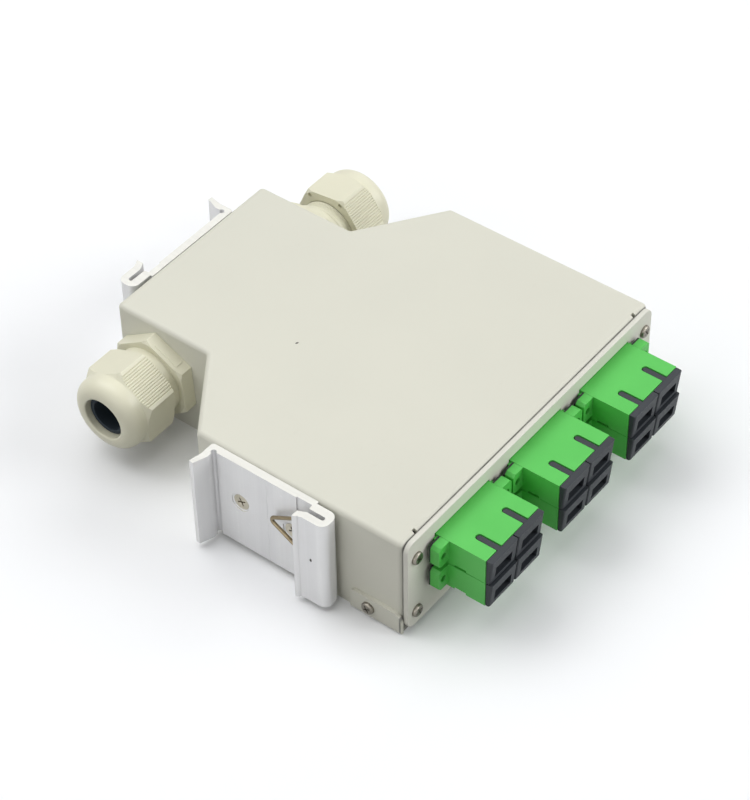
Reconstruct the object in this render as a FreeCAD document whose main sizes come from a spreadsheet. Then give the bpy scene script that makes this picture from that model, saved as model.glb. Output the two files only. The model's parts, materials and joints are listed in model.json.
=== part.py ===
import FreeCAD, Part

import math
import os
import re

import Sketcher

# Fibre splice box that clips onto a 35 mm rail.
# The box lies on its wide face. +Z is up, the adapters look towards -Y and the narrow rear
# section with its two cable glands is at +Y. The origin is in the middle of the box's footprint,
# on its bottom face. Each piece is drawn with y = 0 at the front of the folded housing, and is
# then moved back by half the box depth.

# Every driving size in millimetres: alias, value and what it is.
SIZES = [
    ("box_width", 123.0, "housing width across the side walls"),
    ("box_depth", 128.2, "housing depth, front flange to rear wall"),
    ("box_height", 36.5, "height of the whole box with its bottom cover"),
    ("side_depth", 73.7, "length of the straight side walls"),
    ("neck_start", 92.7, "where the narrow rear section starts"),
    ("neck_width", 69.1, "width of the narrow rear section"),
    ("sheet", 1.2, "thickness of the folded sheet"),
    ("bend_radius", 1.6, "outside radius of the folds"),
    ("side_flange", 9.0, "width of the front return flanges at the sides"),
    ("top_flange", 4.4, "height of the front return flange at the top"),
    ("relief_place", 54.6, "distance of the bend reliefs from the middle"),
    ("relief_width", 1.2, "width of a bend relief"),
    ("relief_depth", 1.5, "depth of a bend relief"),
    ("tab_length", 18.2, "length of a side tab of the bottom cover"),
    ("tab_height", 8.0, "height of a side tab"),
    ("tab_setback", -0.4, "front end of a side tab, from the box front"),
    ("tab_round", 3.2, "rounding of a side tab's front upper corner"),
    ("tab_round_small", 1.6, "rounding of its rear upper corner"),
    ("tab_screw_place", 11.2, "distance of the tab screw from the front"),
    ("tab_screw_height", 4.2, "height of the tab screw"),
    ("lip_width", 46.0, "width of the cover's lip inside the rear wall"),
    ("lip_height", 8.0, "height of that lip"),
    ("lip_gap", 0.3, "gap between the cover's lips and the housing"),
    ("front_lip_height", 6.0, "height of the cover's lip behind the front panel"),
    ("panel_thickness", 1.8, "thickness of the front panel"),
    ("panel_width", 122.4, "width of the front panel"),
    ("panel_bottom", 1.5, "height of the panel's lower edge"),
    ("panel_top_gap", 0.2, "gap between the panel's upper edge and the top's face"),
    ("panel_corner", 3.2, "corner radius of the front panel"),
    ("cutout_gap", 0.3, "gap round the adapters in a cut-out"),
    ("panel_screw_side", 4.3, "panel screws, distance in from the side wall"),
    ("panel_screw_low", 7.2, "height of the lower panel screws"),
    ("panel_screw_drop", 7.3, "upper panel screws, down from the top's face"),
    ("panel_screw_turn", 20.0, "how far the first panel screw's cross is turned"),
    ("panel_screw_step", 35.0, "how much further each next one is turned"),
    ("cover_screw_turn", 30.0, "how far the cover screws' crosses are turned"),
    ("tray_screw_turn", 15.0, "how far the tray screws' crosses are turned"),
    ("small_shank", 1.45, "shank radius of the small screws"),
    ("small_head", 2.1, "head radius of the small screws"),
    ("small_head_height", 1.1, "head height of the small screws"),
    ("small_screw_length", 6.0, "shank length of the small screws"),
    ("clearance_hole", 1.7, "radius of the holes that pass a small screw"),
    ("tapped_hole", 1.5, "radius of the tapped holes for a small screw"),
    ("column_pitch", 35.6, "distance between the adapter columns"),
    ("row_pitch", 9.4, "distance between the two stacked adapters"),
    ("stack_drop", 5.3, "upper adapter's top face, down from the box top"),
    ("adapter_width", 25.4, "width of a duplex adapter body"),
    ("adapter_height", 9.3, "height of a duplex adapter body"),
    ("port_pitch", 12.7, "distance between the two ports of an adapter"),
    ("adapter_reach", 17.2, "how far an adapter stands out of the panel"),
    ("adapter_tail", 12.2, "how far an adapter reaches in behind the panel's front"),
    ("ear_depth", 4.7, "how far the ears' faces stand out from the panel"),
    ("ear_thickness", 3.1, "thickness of the ears"),
    ("ear_span", 34.8, "width across the ears"),
    ("ear_height", 7.7, "height of an ear"),
    ("ear_raise", 1.5, "step from the body's bottom up to the ear"),
    ("ear_chamfer", 1.0, "chamfer on the outer edges of an ear"),
    ("ear_hole", 1.1, "radius of the hole in an ear"),
    ("ear_hole_inset", 2.2, "distance of that hole in from the ear's end"),
    ("side_plate", 0.5, "thickness of the dark plates behind the ears"),
    ("side_plate_gap", 0.1, "gap between such a plate and the adapter's body"),
    ("shoulder", 1.2, "how far the shoulder that rests on the panel stands out"),
    ("shoulder_inset", 0.6, "how much lower than an ear that shoulder is, top and bottom"),
    ("port_width", 9.2, "inside width of a port"),
    ("port_height", 7.5, "inside height of a port"),
    ("web_thickness", 4.0, "wall between the outer and the inner ports"),
    ("holder_radius", 2.6, "outside radius of the sleeve holder tube"),
    ("holder_bore", 1.68, "bore of the sleeve holder tube"),
    ("holder_reach", 5.0, "how far the holder stands out of the web each way"),
    ("sleeve_radius", 1.6, "outside radius of a ceramic sleeve"),
    ("sleeve_bore", 1.25, "bore of a ceramic sleeve"),
    ("sleeve_length", 11.4, "length of a ceramic sleeve"),
    ("sleeve_slit", 0.4, "slit along a ceramic sleeve"),
    ("key_width", 2.4, "width of the key slot in a port's roof"),
    ("key_length", 7.9, "length of the key slot"),
    ("side_slit_length", 4.0, "length of the slit low on an adapter's side"),
    ("side_slit_height", 0.7, "height of that slit"),
    ("side_slit_depth", 1.2, "depth of that slit"),
    ("side_slit_start", 1.9, "distance of that slit from the ear"),
    ("cap_width", 12.3, "width of a dust cap's head"),
    ("cap_height", 9.0, "height of a dust cap's head"),
    ("cap_depth_top", 2.1, "depth of the head along its upper edge"),
    ("cap_depth_low", 1.2, "depth of the head along its lower edge"),
    ("cap_seat_gap", 0.15, "gap between a cap's head and the adapter"),
    ("cap_gap", 0.3, "gap round a cap's plug and key in the port"),
    ("plug_length", 6.5, "length of a cap's plug"),
    ("plug_wall", 1.2, "wall of a cap's plug"),
    ("cap_web", 0.9, "floor between the head's recess and the plug's hollow"),
    ("recess_width", 7.8, "width of the recess in a cap's face"),
    ("recess_height", 4.0, "height of the recess"),
    ("recess_low", 1.5, "distance of the recess from the head's lower edge"),
    ("recess_depth", 1.5, "depth of the recess"),
    ("cap_round", 0.6, "rounding of a cap's upright edges"),
    ("spring_strip", 0.4, "thickness of an adapter's spring strip"),
    ("spring_strip_width", 6.0, "width of that strip"),
    ("spring_strip_length", 8.4, "depth of that strip behind the panel"),
    ("spring_strip_spread", 2.2, "how far that strip's free leg spreads"),
    ("gland_place", 112.0, "distance of the glands from the front"),
    ("gland_rise", 0.05, "height of the gland axis over the middle of the box"),
    ("gland_hole", 10.25, "radius of the gland hole in the wall"),
    ("gland_thread", 9.9, "outside radius of the gland's wall thread"),
    ("gland_thread_length", 9.0, "length of that thread behind the flange"),
    ("gland_passage", 7.2, "bore of the gland body"),
    ("gasket_thickness", 1.0, "thickness of the flat sealing ring"),
    ("gasket_radius", 11.6, "outside radius of the sealing ring"),
    ("gasket_gap", 0.15, "gap round the sealing ring in its recess"),
    ("body_flats", 26.0, "gland body, width across flats"),
    ("body_flange", 5.0, "thickness of the body's hexagon"),
    ("collar_radius", 11.4, "round collar in front of the hexagon"),
    ("collar_height", 3.1, "height of that collar"),
    ("neck_radius", 9.75, "outside radius of the neck thread"),
    ("neck_short", 2.7, "how much shorter the neck thread is than the nut's thread"),
    ("claw_length", 4.5, "length of the clamping claws"),
    ("claw_root_radius", 9.2, "outside radius of the claws at their root"),
    ("claw_tip_radius", 8.7, "outside radius of the claws at their tip"),
    ("claw_slot", 1.4, "width of a slot between two claws"),
    ("seal_seat", 8.0, "inside radius of the claws, where the seal sits"),
    ("seal_floor", 6.6, "where that seat starts, from the wall"),
    ("nut_flats", 25.0, "dome nut, width across flats"),
    ("nut_gap", 0.3, "gap between a tight dome nut and the collar"),
    ("nut_backed_off", 4.6, "how far the right dome nut is backed off"),
    ("nut_dome_length", 6.3, "length of the nut's round front"),
    ("nut_length", 18.5, "whole length of the dome nut"),
    ("nut_taper", 1.7, "length of the taper from hexagon to dome"),
    ("nut_bore", 10.05, "inside radius of the nut's thread"),
    ("nut_cone_length", 5.5, "length of the inside cone"),
    ("nut_cone_end", 7.6, "radius at the end of the inside cone"),
    ("nut_mouth", 7.05, "radius of the mouth in the dome"),
    ("nut_mouth_length", 2.9, "length of that mouth"),
    ("dome_radius", 4.3, "rounding of the dome"),
    ("edge_round", 0.5, "rounding of moulded edges"),
    ("rib_pitch", 0.85, "distance between the ribs of a ribbed facet"),
    ("rib_depth", 0.28, "depth of the grooves between the ribs"),
    ("rib_count", 15, "grooves on a ribbed facet"),
    ("rear_dimple", 0.75, "radius of the dimples in the nut's rear corners"),
    ("rear_dimple_depth", 0.8, "depth of those dimples"),
    ("rear_dimple_place", 12.4, "distance of those dimples from the axis"),
    ("seal_radius", 7.7, "outside radius of the seal insert"),
    ("seal_start", 9.0, "where the seal starts, from the wall"),
    ("seal_reach", 3.4, "how much longer its thick part is than the nut's thread"),
    ("seal_nose_radius", 6.7, "radius of the seal's nose in the mouth"),
    ("seal_nose", 2.3, "length of that nose"),
    ("seal_bore", 5.2, "bore of the seal for the cable"),
    ("hexagon_bevel", 1.2, "how far the gland hexagons' corners are turned off"),
    ("hexagon_bevel_height", 0.8, "height of that bevel"),
    ("locknut_flats", 24.0, "lock nut, width across flats"),
    ("locknut_thickness", 5.0, "thickness of the lock nut"),
    ("locknut_bore", 10.0, "bore of the lock nut"),
    ("clip_span", 47.1, "length of a rail clip along its plate"),
    ("clip_top_gap", 0.7, "from a clip's upper end to the top's face"),
    ("clip_bottom", 1.8, "height of a clip's lower end"),
    ("clip_plate", 2.5, "thickness of a clip's plate"),
    ("clip_back_relief", 0.9, "step at the back of the channel end"),
    ("clip_land", 13.8, "length of the plate's thinner land"),
    ("clip_land_drop", 0.4, "how much thinner that land is"),
    ("seat_line", 24.8, "fine line across the plate where the rail's seat ends, from the round end"),
    ("seat_line_half", 0.2, "half the width of that line"),
    ("seat_line_depth", 0.15, "depth of that line"),
    ("leg_height", 9.7, "how far the leg stands out from the wall"),
    ("leg_thickness", 2.3, "thickness of the leg"),
    ("leg_flare", 0.9, "how far the leg's tip leans outwards"),
    ("leg_bend", 5.2, "height where the leg starts to lean"),
    ("groove_radius", 0.9, "radius of the groove at the leg's foot"),
    ("channel_mouth", 8.1, "where the channel opens, from the round end"),
    ("channel_end", 2.1, "wall at the channel's closed end"),
    ("channel_gap", 1.4, "width of the channel"),
    ("channel_lift", 3.7, "height of the channel's floor above the wall"),
    ("arm_thickness", 2.4, "thickness of the channel's arm"),
    ("arm_length", 10.5, "length of the arm from the round end"),
    ("arm_flare", 1.2, "how far the arm's tip leans outwards"),
    ("arm_lean", 2.7, "length of the arm's leaning tip"),
    ("arm_line", 1.4, "fine line along the arm, from its tip"),
    ("arm_line_half", 0.3, "half the width of that line"),
    ("arm_line_depth", 0.35, "depth of that line"),
    ("clip_round", 2.6, "rounding of the channel's closed end"),
    ("side_clip_place", 21.4, "distance of the side clip from the front"),
    ("rear_clip_place", 25.8, "distance of the rear clip's round end from the middle"),
    ("clip_screw_near", 16.0, "first clip screw, from the round end"),
    ("clip_screw_far", 34.9, "second clip screw, from the round end"),
    ("clip_screw_drop", 15.8, "clip screws, down from the clip's upper end"),
    ("clip_screw_head", 2.8, "head radius of the clip screws"),
    ("clip_screw_ring", 0.5, "how much wider than the head its shallow well is"),
    ("clip_screw_cone", 1.4, "depth of the countersunk head"),
    ("clip_screw_shank", 1.5, "shank radius of the clip screws"),
    ("clip_screw_length", 8.0, "whole length of a clip screw"),
    ("clip_screw_hole", 1.7, "radius of the holes for the clip screws"),
    ("clip_nut_flats", 5.5, "clip nut, width across flats"),
    ("clip_nut_thickness", 2.4, "thickness of a clip nut"),
    ("clip_nut_bore", 1.55, "bore of a clip nut"),
    ("wire_radius", 0.6, "radius of the spring wire"),
    ("wire_apex", 22.8, "tip of the wire's V, from the round end"),
    ("wire_knee", 11.9, "where the V turns into straight tails"),
    ("wire_tail", 5.0, "end of the tails in the channel"),
    ("wire_half_height", 6.4, "half the distance between the tails"),
    ("wire_drop", 12.4, "middle of the V, down from the clip's upper end"),
    ("wire_bend", 1.3, "bend radius of the wire at its middle line"),
    ("tray_front", 16.0, "front edge of the splice tray, from the box front"),
    ("tray_rear", 90.0, "rear edge of the splice tray"),
    ("tray_half_width", 54.0, "half the width of the tray"),
    ("tray_rear_half", 33.0, "half the width of its rear edge"),
    ("tray_shoulder", 75.0, "where its rear corners are cut off"),
    ("tray_height", 7.5, "height of the tray"),
    ("tray_wall", 1.5, "wall and floor of the tray"),
    ("standoff_height", 2.0, "height of the tray stand-offs"),
    ("standoff_radius", 3.0, "radius of the tray stand-offs"),
    ("tray_screw_front", 24.0, "front tray screws, from the box front"),
    ("tray_screw_rear", 82.0, "rear tray screws, from the box front"),
    ("tray_screw_wide", 46.0, "front tray screws, from the middle"),
    ("tray_screw_narrow", 29.0, "rear tray screws, from the middle"),
    ("tray_screw_length", 3.2, "shank length of the tray screws"),
    ("guide_place", 32.0, "middle of a fibre guide, from the middle"),
    ("guide_front", 45.0, "middle of a fibre guide, from the box front"),
    ("guide_radius", 18.0, "outside radius of a fibre guide"),
    ("guide_wall", 1.2, "wall of a fibre guide"),
    ("guide_height", 5.6, "height of a fibre guide above the tray floor"),
    ("tray_gate", 12.0, "width of a fibre gate in the tray's wall"),
    ("holder_length", 40.0, "length of the splice comb"),
    ("comb_depth", 21.0, "depth of the splice comb"),
    ("comb_front", 61.0, "front edge of the splice comb"),
    ("comb_height", 5.0, "height of the splice comb"),
    ("comb_floor", 1.0, "floor of the splice comb"),
    ("comb_slot", 2.4, "width of a splice slot"),
    ("comb_pitch", 3.4, "distance between two splice slots"),
    ("comb_count", 6, "splice slots in the comb"),
    ("lid_thickness", 0.8, "thickness of the tray lid"),
    ("lid_tongue", 10.0, "width of a tongue of the tray lid"),
    ("lid_tongue_drop", 3.0, "how far a tongue reaches down"),
    ("lid_fit", 0.2, "gap between a tongue and the tray"),
]

# Heights and lengths that follow from the sizes above: alias, formula and what it is.
FOLLOWING = [
    ("panel_height", "box_height - panel_bottom - panel_top_gap", "height of the front panel"),
    ("panel_screw_high", "box_height - panel_screw_drop", "height of the upper panel screws"),
    ("stack_top", "box_height - stack_drop", "height of the upper adapter's top face"),
    ("gland_height", "box_height / 2 + gland_rise", "height of the gland axis"),
    ("clip_height", "box_height - clip_bottom - clip_top_gap", "length of the extrusion"),
    ("clip_screw_height", "clip_height - clip_screw_drop", "clip screws, from the clip's lower end"),
    ("wire_height", "clip_height - wire_drop", "middle of the V, from the clip's lower end"),
    ("nut_hexagon", "nut_length - nut_dome_length", "length of the nut's hexagon part"),
    ("nut_bore_length", "nut_length - nut_cone_length - nut_mouth_length", "depth of the nut's thread"),
    ("neck_length", "nut_bore_length - neck_short", "length of the neck thread"),
    ("seal_length", "nut_bore_length + seal_reach", "length of the seal's thick part"),
]

# Turns about the piece's own axis, in degrees, as the hexagons stand in the box.
LEFT_BODY_TURN = 3.3
LEFT_NUT_TURN = -7.3
RIGHT_BODY_TURN = 27.0
RIGHT_NUT_TURN = 23.3
RIBBED_FACETS = (-30.0, 90.0, 210.0)

COLUMNS = (("left", -1), ("middle", 0), ("right", 1))
ROWS = (("upper", 0), ("lower", 1))
PORTS = (("a", -1), ("b", 1))

Z_AXIS = FreeCAD.Vector(0, 0, 1)

doc = FreeCAD.newDocument("splice_box")
sheet = doc.addObject("Spreadsheet::Sheet", "Sizes")
table = [(alias, str(value), meaning) for alias, value, meaning in SIZES]
table += [(alias, "=" + formula, meaning) for alias, formula, meaning in FOLLOWING]
for row, (alias, entry, meaning) in enumerate(table, start=1):
    sheet.set("A%d" % row, meaning)
    sheet.set("B%d" % row, entry)
    sheet.setAlias("B%d" % row, alias)
doc.recompute()

nodes = []


def size(alias):
    """The number that the sheet holds under an alias."""
    return float(sheet.get(alias))


def bound(formula):
    """A formula of aliases, written as an expression on the sheet."""
    return re.sub(r"[a-z][a-z_]+", lambda word: "Sizes." + word.group(0), formula)


def keep(piece, label):
    """Give a finished piece its label and list it as a node."""
    piece.Label = label
    nodes.append(piece)
    return piece


def place(piece, x="0", y="0", z="0", rotation=None):
    """Move a piece to its place, with y counted from the front of the box."""
    if rotation is not None:
        piece.Placement = FreeCAD.Placement(FreeCAD.Vector(), rotation)
    piece.setExpression("Placement.Base.x", bound(x))
    piece.setExpression("Placement.Base.y", bound("(%s) - box_depth / 2" % y))
    piece.setExpression("Placement.Base.z", bound(z))
    return piece


def new_body(label):
    """A body for one solid piece."""
    return keep(doc.addObject("PartDesign::Body", label), label)


def rectangle(left, right, low, high):
    """The corners of a rectangle, each side given as a formula."""
    return [(left, low), (right, low), (right, high), (left, high)]


def circle(across, up, radius):
    """A circle, given by its centre and radius as formulas."""
    return ("circle", across, up, radius)


def pin_point(sketch, geometry, corner, across, up):
    """Tie one point of a sketch to its two formulas."""
    for kind, formula in (("DistanceX", across), ("DistanceY", up)):
        index = sketch.addConstraint(Sketcher.Constraint(kind, -1, 1, geometry, corner, 1.0))
        sketch.setExpression("Constraints[%d]" % index, bound(formula))


def add_loop(sketch, loop):
    """Draw one closed outline into a sketch and tie all its points."""
    if loop[0] == "circle":
        ring = Part.Circle(FreeCAD.Vector(), Z_AXIS, 1.0)
        geometry = sketch.addGeometry(ring, False)
        pin_point(sketch, geometry, 3, loop[1], loop[2])
        index = sketch.addConstraint(Sketcher.Constraint("Radius", geometry, 1.0))
        sketch.setExpression("Constraints[%d]" % index, bound(loop[3]))
        return
    count = len(loop)
    start = [
        FreeCAD.Vector(math.cos(2 * math.pi * i / count), math.sin(2 * math.pi * i / count), 0)
        for i in range(count)
    ]
    lines = [Part.LineSegment(start[i], start[(i + 1) % count]) for i in range(count)]
    first = sketch.addGeometry(lines, False)[0]
    for i in range(count):
        after = first + (i + 1) % count
        sketch.addConstraint(Sketcher.Constraint("Coincident", first + i, 2, after, 1))
    for i, (across, up) in enumerate(loop):
        pin_point(sketch, first + i, 1, across, up)


def new_sketch(body, name, plane, loops, offset="0"):
    """A sketch on one of the body's own origin planes, moved off it by a formula."""
    sketch = body.newObject("Sketcher::SketchObject", name)
    support = [item for item in body.Origin.OriginFeatures if item.Role == plane][0]
    sketch.AttachmentSupport = [(support, "")]
    sketch.MapMode = "FlatFace"
    sketch.setExpression("AttachmentOffset.Base.z", bound(offset))
    for loop in loops:
        add_loop(sketch, loop)
    return sketch


def extrude(body, kind, name, plane, loops, start, length):
    """Pad or pocket from start over length, along +Z, +X or +Y for the three planes."""
    backwards = plane == "XZ_Plane"
    offset = "-(%s)" % start if backwards else start
    sketch = new_sketch(body, name + "_sketch", plane, loops, offset)
    feature = body.newObject("PartDesign::" + kind, name)
    feature.Profile = sketch
    feature.setExpression("Length", bound(length))
    feature.Reversed = backwards == (kind == "Pad")
    return feature


def pad(body, name, plane, loops, start, length):
    """Add material, as extrude does."""
    return extrude(body, "Pad", name, plane, loops, start, length)


def pocket(body, name, plane, loops, start, length):
    """Take material away, as extrude does."""
    return extrude(body, "Pocket", name, plane, loops, start, length)


def turn(body, kind, name, loop):
    """Turn an outline of radius and height about the body's upright axis."""
    sketch = new_sketch(body, name + "_sketch", "XZ_Plane", [loop])
    feature = body.newObject("PartDesign::" + kind, name)
    feature.Profile = sketch
    feature.ReferenceAxis = (sketch, ["V_Axis"])
    feature.Angle = 360.0
    return feature


def dress(body, kind, name, test, radius):
    """Round or chamfer the edges of a body that pass a test."""
    doc.recompute()
    before = body.Tip
    names = [
        "Edge%d" % number
        for number, edge in enumerate(before.Shape.Edges, start=1)
        if test(edge)
    ]
    if not names:
        raise RuntimeError("no edge to dress for " + name)
    feature = body.newObject("PartDesign::" + kind, name)
    feature.Base = (before, names)
    feature.setExpression("Size" if kind == "Chamfer" else "Radius", bound(radius))
    return feature


def along(edge, axis):
    """Whether an edge is straight and runs along one axis: 0, 1 or 2 for X, Y or Z."""
    if not isinstance(edge.Curve, Part.Line):
        return False
    return abs(edge.Curve.Direction[axis]) > 1.0 - 1e-6


def near(value, target, room=0.02):
    """Whether two lengths are the same, within a small room."""
    return abs(value - target) < room


def hexagon(flats):
    """The corners of a hexagon about the origin, with a corner on the first axis."""
    corners = []
    for across, up in (("2", "0"), ("1", "1"), ("-1", "1"), ("-2", "0"), ("-1", "-1"), ("1", "-1")):
        radius = "%s / 1.7320508" % flats
        corners.append(("%s * %s / 2" % (across, radius), "%s * %s / 2" % (up, flats)))
    return corners


def box_outline(grow="0"):
    """The plan of the housing, grown or shrunk at its straight walls by a formula."""
    half = "(box_width / 2 + %s)" % grow
    neck = "(neck_width / 2 + %s)" % grow
    rear = "box_depth + %s" % grow
    return [
        ("-" + half, "0"),
        (half, "0"),
        (half, "side_depth"),
        (neck, "neck_start"),
        (neck, rear),
        ("-" + neck, rear),
        ("-" + neck, "neck_start"),
        ("-" + half, "side_depth"),
    ]


def clip_wall_holes(body):
    """Holes for the clip screws in the left side wall and in the rear wall."""
    height = "clip_bottom + clip_screw_height"
    side = [
        circle("side_clip_place + " + away, height, "clip_screw_hole")
        for away in ("clip_screw_near", "clip_screw_far")
    ]
    rear = [
        circle("-rear_clip_place + " + away, height, "clip_screw_hole")
        for away in ("clip_screw_near", "clip_screw_far")
    ]
    pocket(body, "side_clip_holes", "YZ_Plane", side, "-box_width / 2 - 1", "sheet + 2")
    pocket(body, "rear_clip_holes", "XZ_Plane", rear, "box_depth - sheet - 1", "sheet + 2")


def make_housing():
    """The folded shell: open below, with flanges that carry the front panel."""
    body = new_body("housing_shell")
    pad(body, "block", "XY_Plane", [box_outline()], "sheet", "box_height - sheet")
    top = size("box_height")

    def folded(edge):
        """Edges that are folds: all along the top and the upright corners."""
        upright = along(edge, 2)
        return upright or near(edge.BoundBox.ZMin, top)

    dress(body, "Fillet", "folds", folded, "bend_radius")
    doc.recompute()
    below = [
        "Face%d" % number
        for number, face in enumerate(body.Tip.Shape.Faces, start=1)
        if near(face.BoundBox.ZMax, size("sheet"))
    ]
    solid = body.Tip
    hollow = body.newObject("PartDesign::Thickness", "hollow")
    hollow.Base = (solid, below)
    hollow.setExpression("Value", bound("sheet"))
    hollow.Reversed = True
    hollow.Join = 0
    doc.recompute()
    opening = rectangle(
        "-box_width / 2 + side_flange", "box_width / 2 - side_flange",
        "sheet - 1", "box_height - top_flange",
    )
    pocket(body, "front_opening", "XZ_Plane", [opening], "-1", "sheet + 2")
    reliefs = [
        rectangle(
            "%s relief_place - relief_width / 2" % sign, "%s relief_place + relief_width / 2" % sign,
            "-1", "relief_depth",
        )
        for sign in ("-", "")
    ]
    pocket(body, "bend_reliefs", "XY_Plane", reliefs, "box_height - top_flange", "top_flange + 1")
    gland = [circle("gland_place", "gland_height", "gland_hole")]
    pocket(body, "gland_holes", "YZ_Plane", gland, "-neck_width / 2 - 1", "neck_width + 2")
    clip_wall_holes(body)
    tabs = [circle("tab_screw_place", "tab_screw_height", "tapped_hole")]
    pocket(body, "tab_holes", "YZ_Plane", tabs, "-box_width / 2 - 1", "box_width + 2")
    panel = panel_screw_circles("tapped_hole")
    pocket(body, "panel_holes", "XZ_Plane", panel, "-1", "sheet + 2")
    return place(body)


def panel_screw_circles(radius):
    """The four panel screw holes of one radius."""
    across = "(box_width / 2 - panel_screw_side)"
    return [
        circle(sign + across, height, radius)
        for sign in ("-", "")
        for height in ("panel_screw_low", "panel_screw_high")
    ]


def make_cover():
    """The bottom plate with two tabs up the side walls and a lip inside the rear wall."""
    body = new_body("bottom_cover")
    pad(body, "plate", "XY_Plane", [box_outline()], "0", "sheet")
    tab = rectangle("tab_setback", "tab_setback + tab_length", "0", "tab_height")
    for side, start in (("left", "-box_width / 2 - sheet"), ("right", "box_width / 2")):
        pad(body, side + "_tab", "YZ_Plane", [tab], start, "sheet")
    lip = rectangle("-lip_width / 2", "lip_width / 2", "0", "lip_height")
    pad(body, "rear_lip", "XZ_Plane", [lip], "box_depth - 2 * sheet - lip_gap", "sheet")
    reach = "(box_width / 2 - side_flange - lip_gap)"
    front_lip = rectangle("-" + reach, reach, "0", "front_lip_height")
    pad(body, "front_lip", "XZ_Plane", [front_lip], "0", "sheet")
    wide = size("box_width") / 2
    high = size("tab_height")
    close = size("tab_setback")
    far = close + size("tab_length")

    def rear_upper(edge):
        """A tab's rear upper corner."""
        return along(edge, 0) and near(edge.BoundBox.ZMin, high) and near(edge.BoundBox.YMin, far)

    def front_upper(edge):
        """A tab's front upper corner."""
        return along(edge, 0) and near(edge.BoundBox.ZMin, high) and near(edge.BoundBox.YMin, close)

    def bend(edge):
        """The fold between the plate and a tab."""
        box = edge.BoundBox
        outer = near(abs(box.XMin), wide + size("sheet"))
        return along(edge, 1) and near(box.ZMax, 0) and outer

    dress(body, "Fillet", "rear_corners", rear_upper, "tab_round_small")
    dress(body, "Fillet", "front_corners", front_upper, "tab_round")
    dress(body, "Fillet", "tab_folds", bend, "sheet - 0.1")
    hole = [circle("tab_screw_place", "tab_screw_height", "clearance_hole")]
    pocket(body, "tab_holes", "YZ_Plane", hole, "-box_width / 2 - sheet - 1", "box_width + 2 * sheet + 2")
    return place(body)


def make_panel():
    """The flat front panel with a cut-out for each column of adapters."""
    body = new_body("front_panel")
    plate = rectangle(
        "-panel_width / 2", "panel_width / 2", "panel_bottom", "panel_bottom + panel_height"
    )
    pad(body, "plate", "XZ_Plane", [plate], "-panel_thickness", "panel_thickness")
    dress(body, "Fillet", "corners", lambda edge: along(edge, 1), "panel_corner")
    half = "(adapter_width / 2 + cutout_gap)"
    low = "stack_top - adapter_height - row_pitch - cutout_gap"
    cutouts = [
        rectangle(
            "%d * column_pitch - %s" % (column, half), "%d * column_pitch + %s" % (column, half),
            low, "stack_top + cutout_gap",
        )
        for name, column in COLUMNS
    ]
    pocket(body, "cutouts", "XZ_Plane", cutouts, "-panel_thickness - 1", "panel_thickness + 2")
    holes = panel_screw_circles("clearance_hole")
    pocket(body, "screw_holes", "XZ_Plane", holes, "-panel_thickness - 1", "panel_thickness + 2")
    return place(body)


def ports(width, low, high):
    """Two rectangles of one width, side by side at the port pitch."""
    return [
        rectangle(
            "%d * port_pitch / 2 - %s / 2" % (side, width), "%d * port_pitch / 2 + %s / 2" % (side, width),
            low, high,
        )
        for name, side in PORTS
    ]


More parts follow.
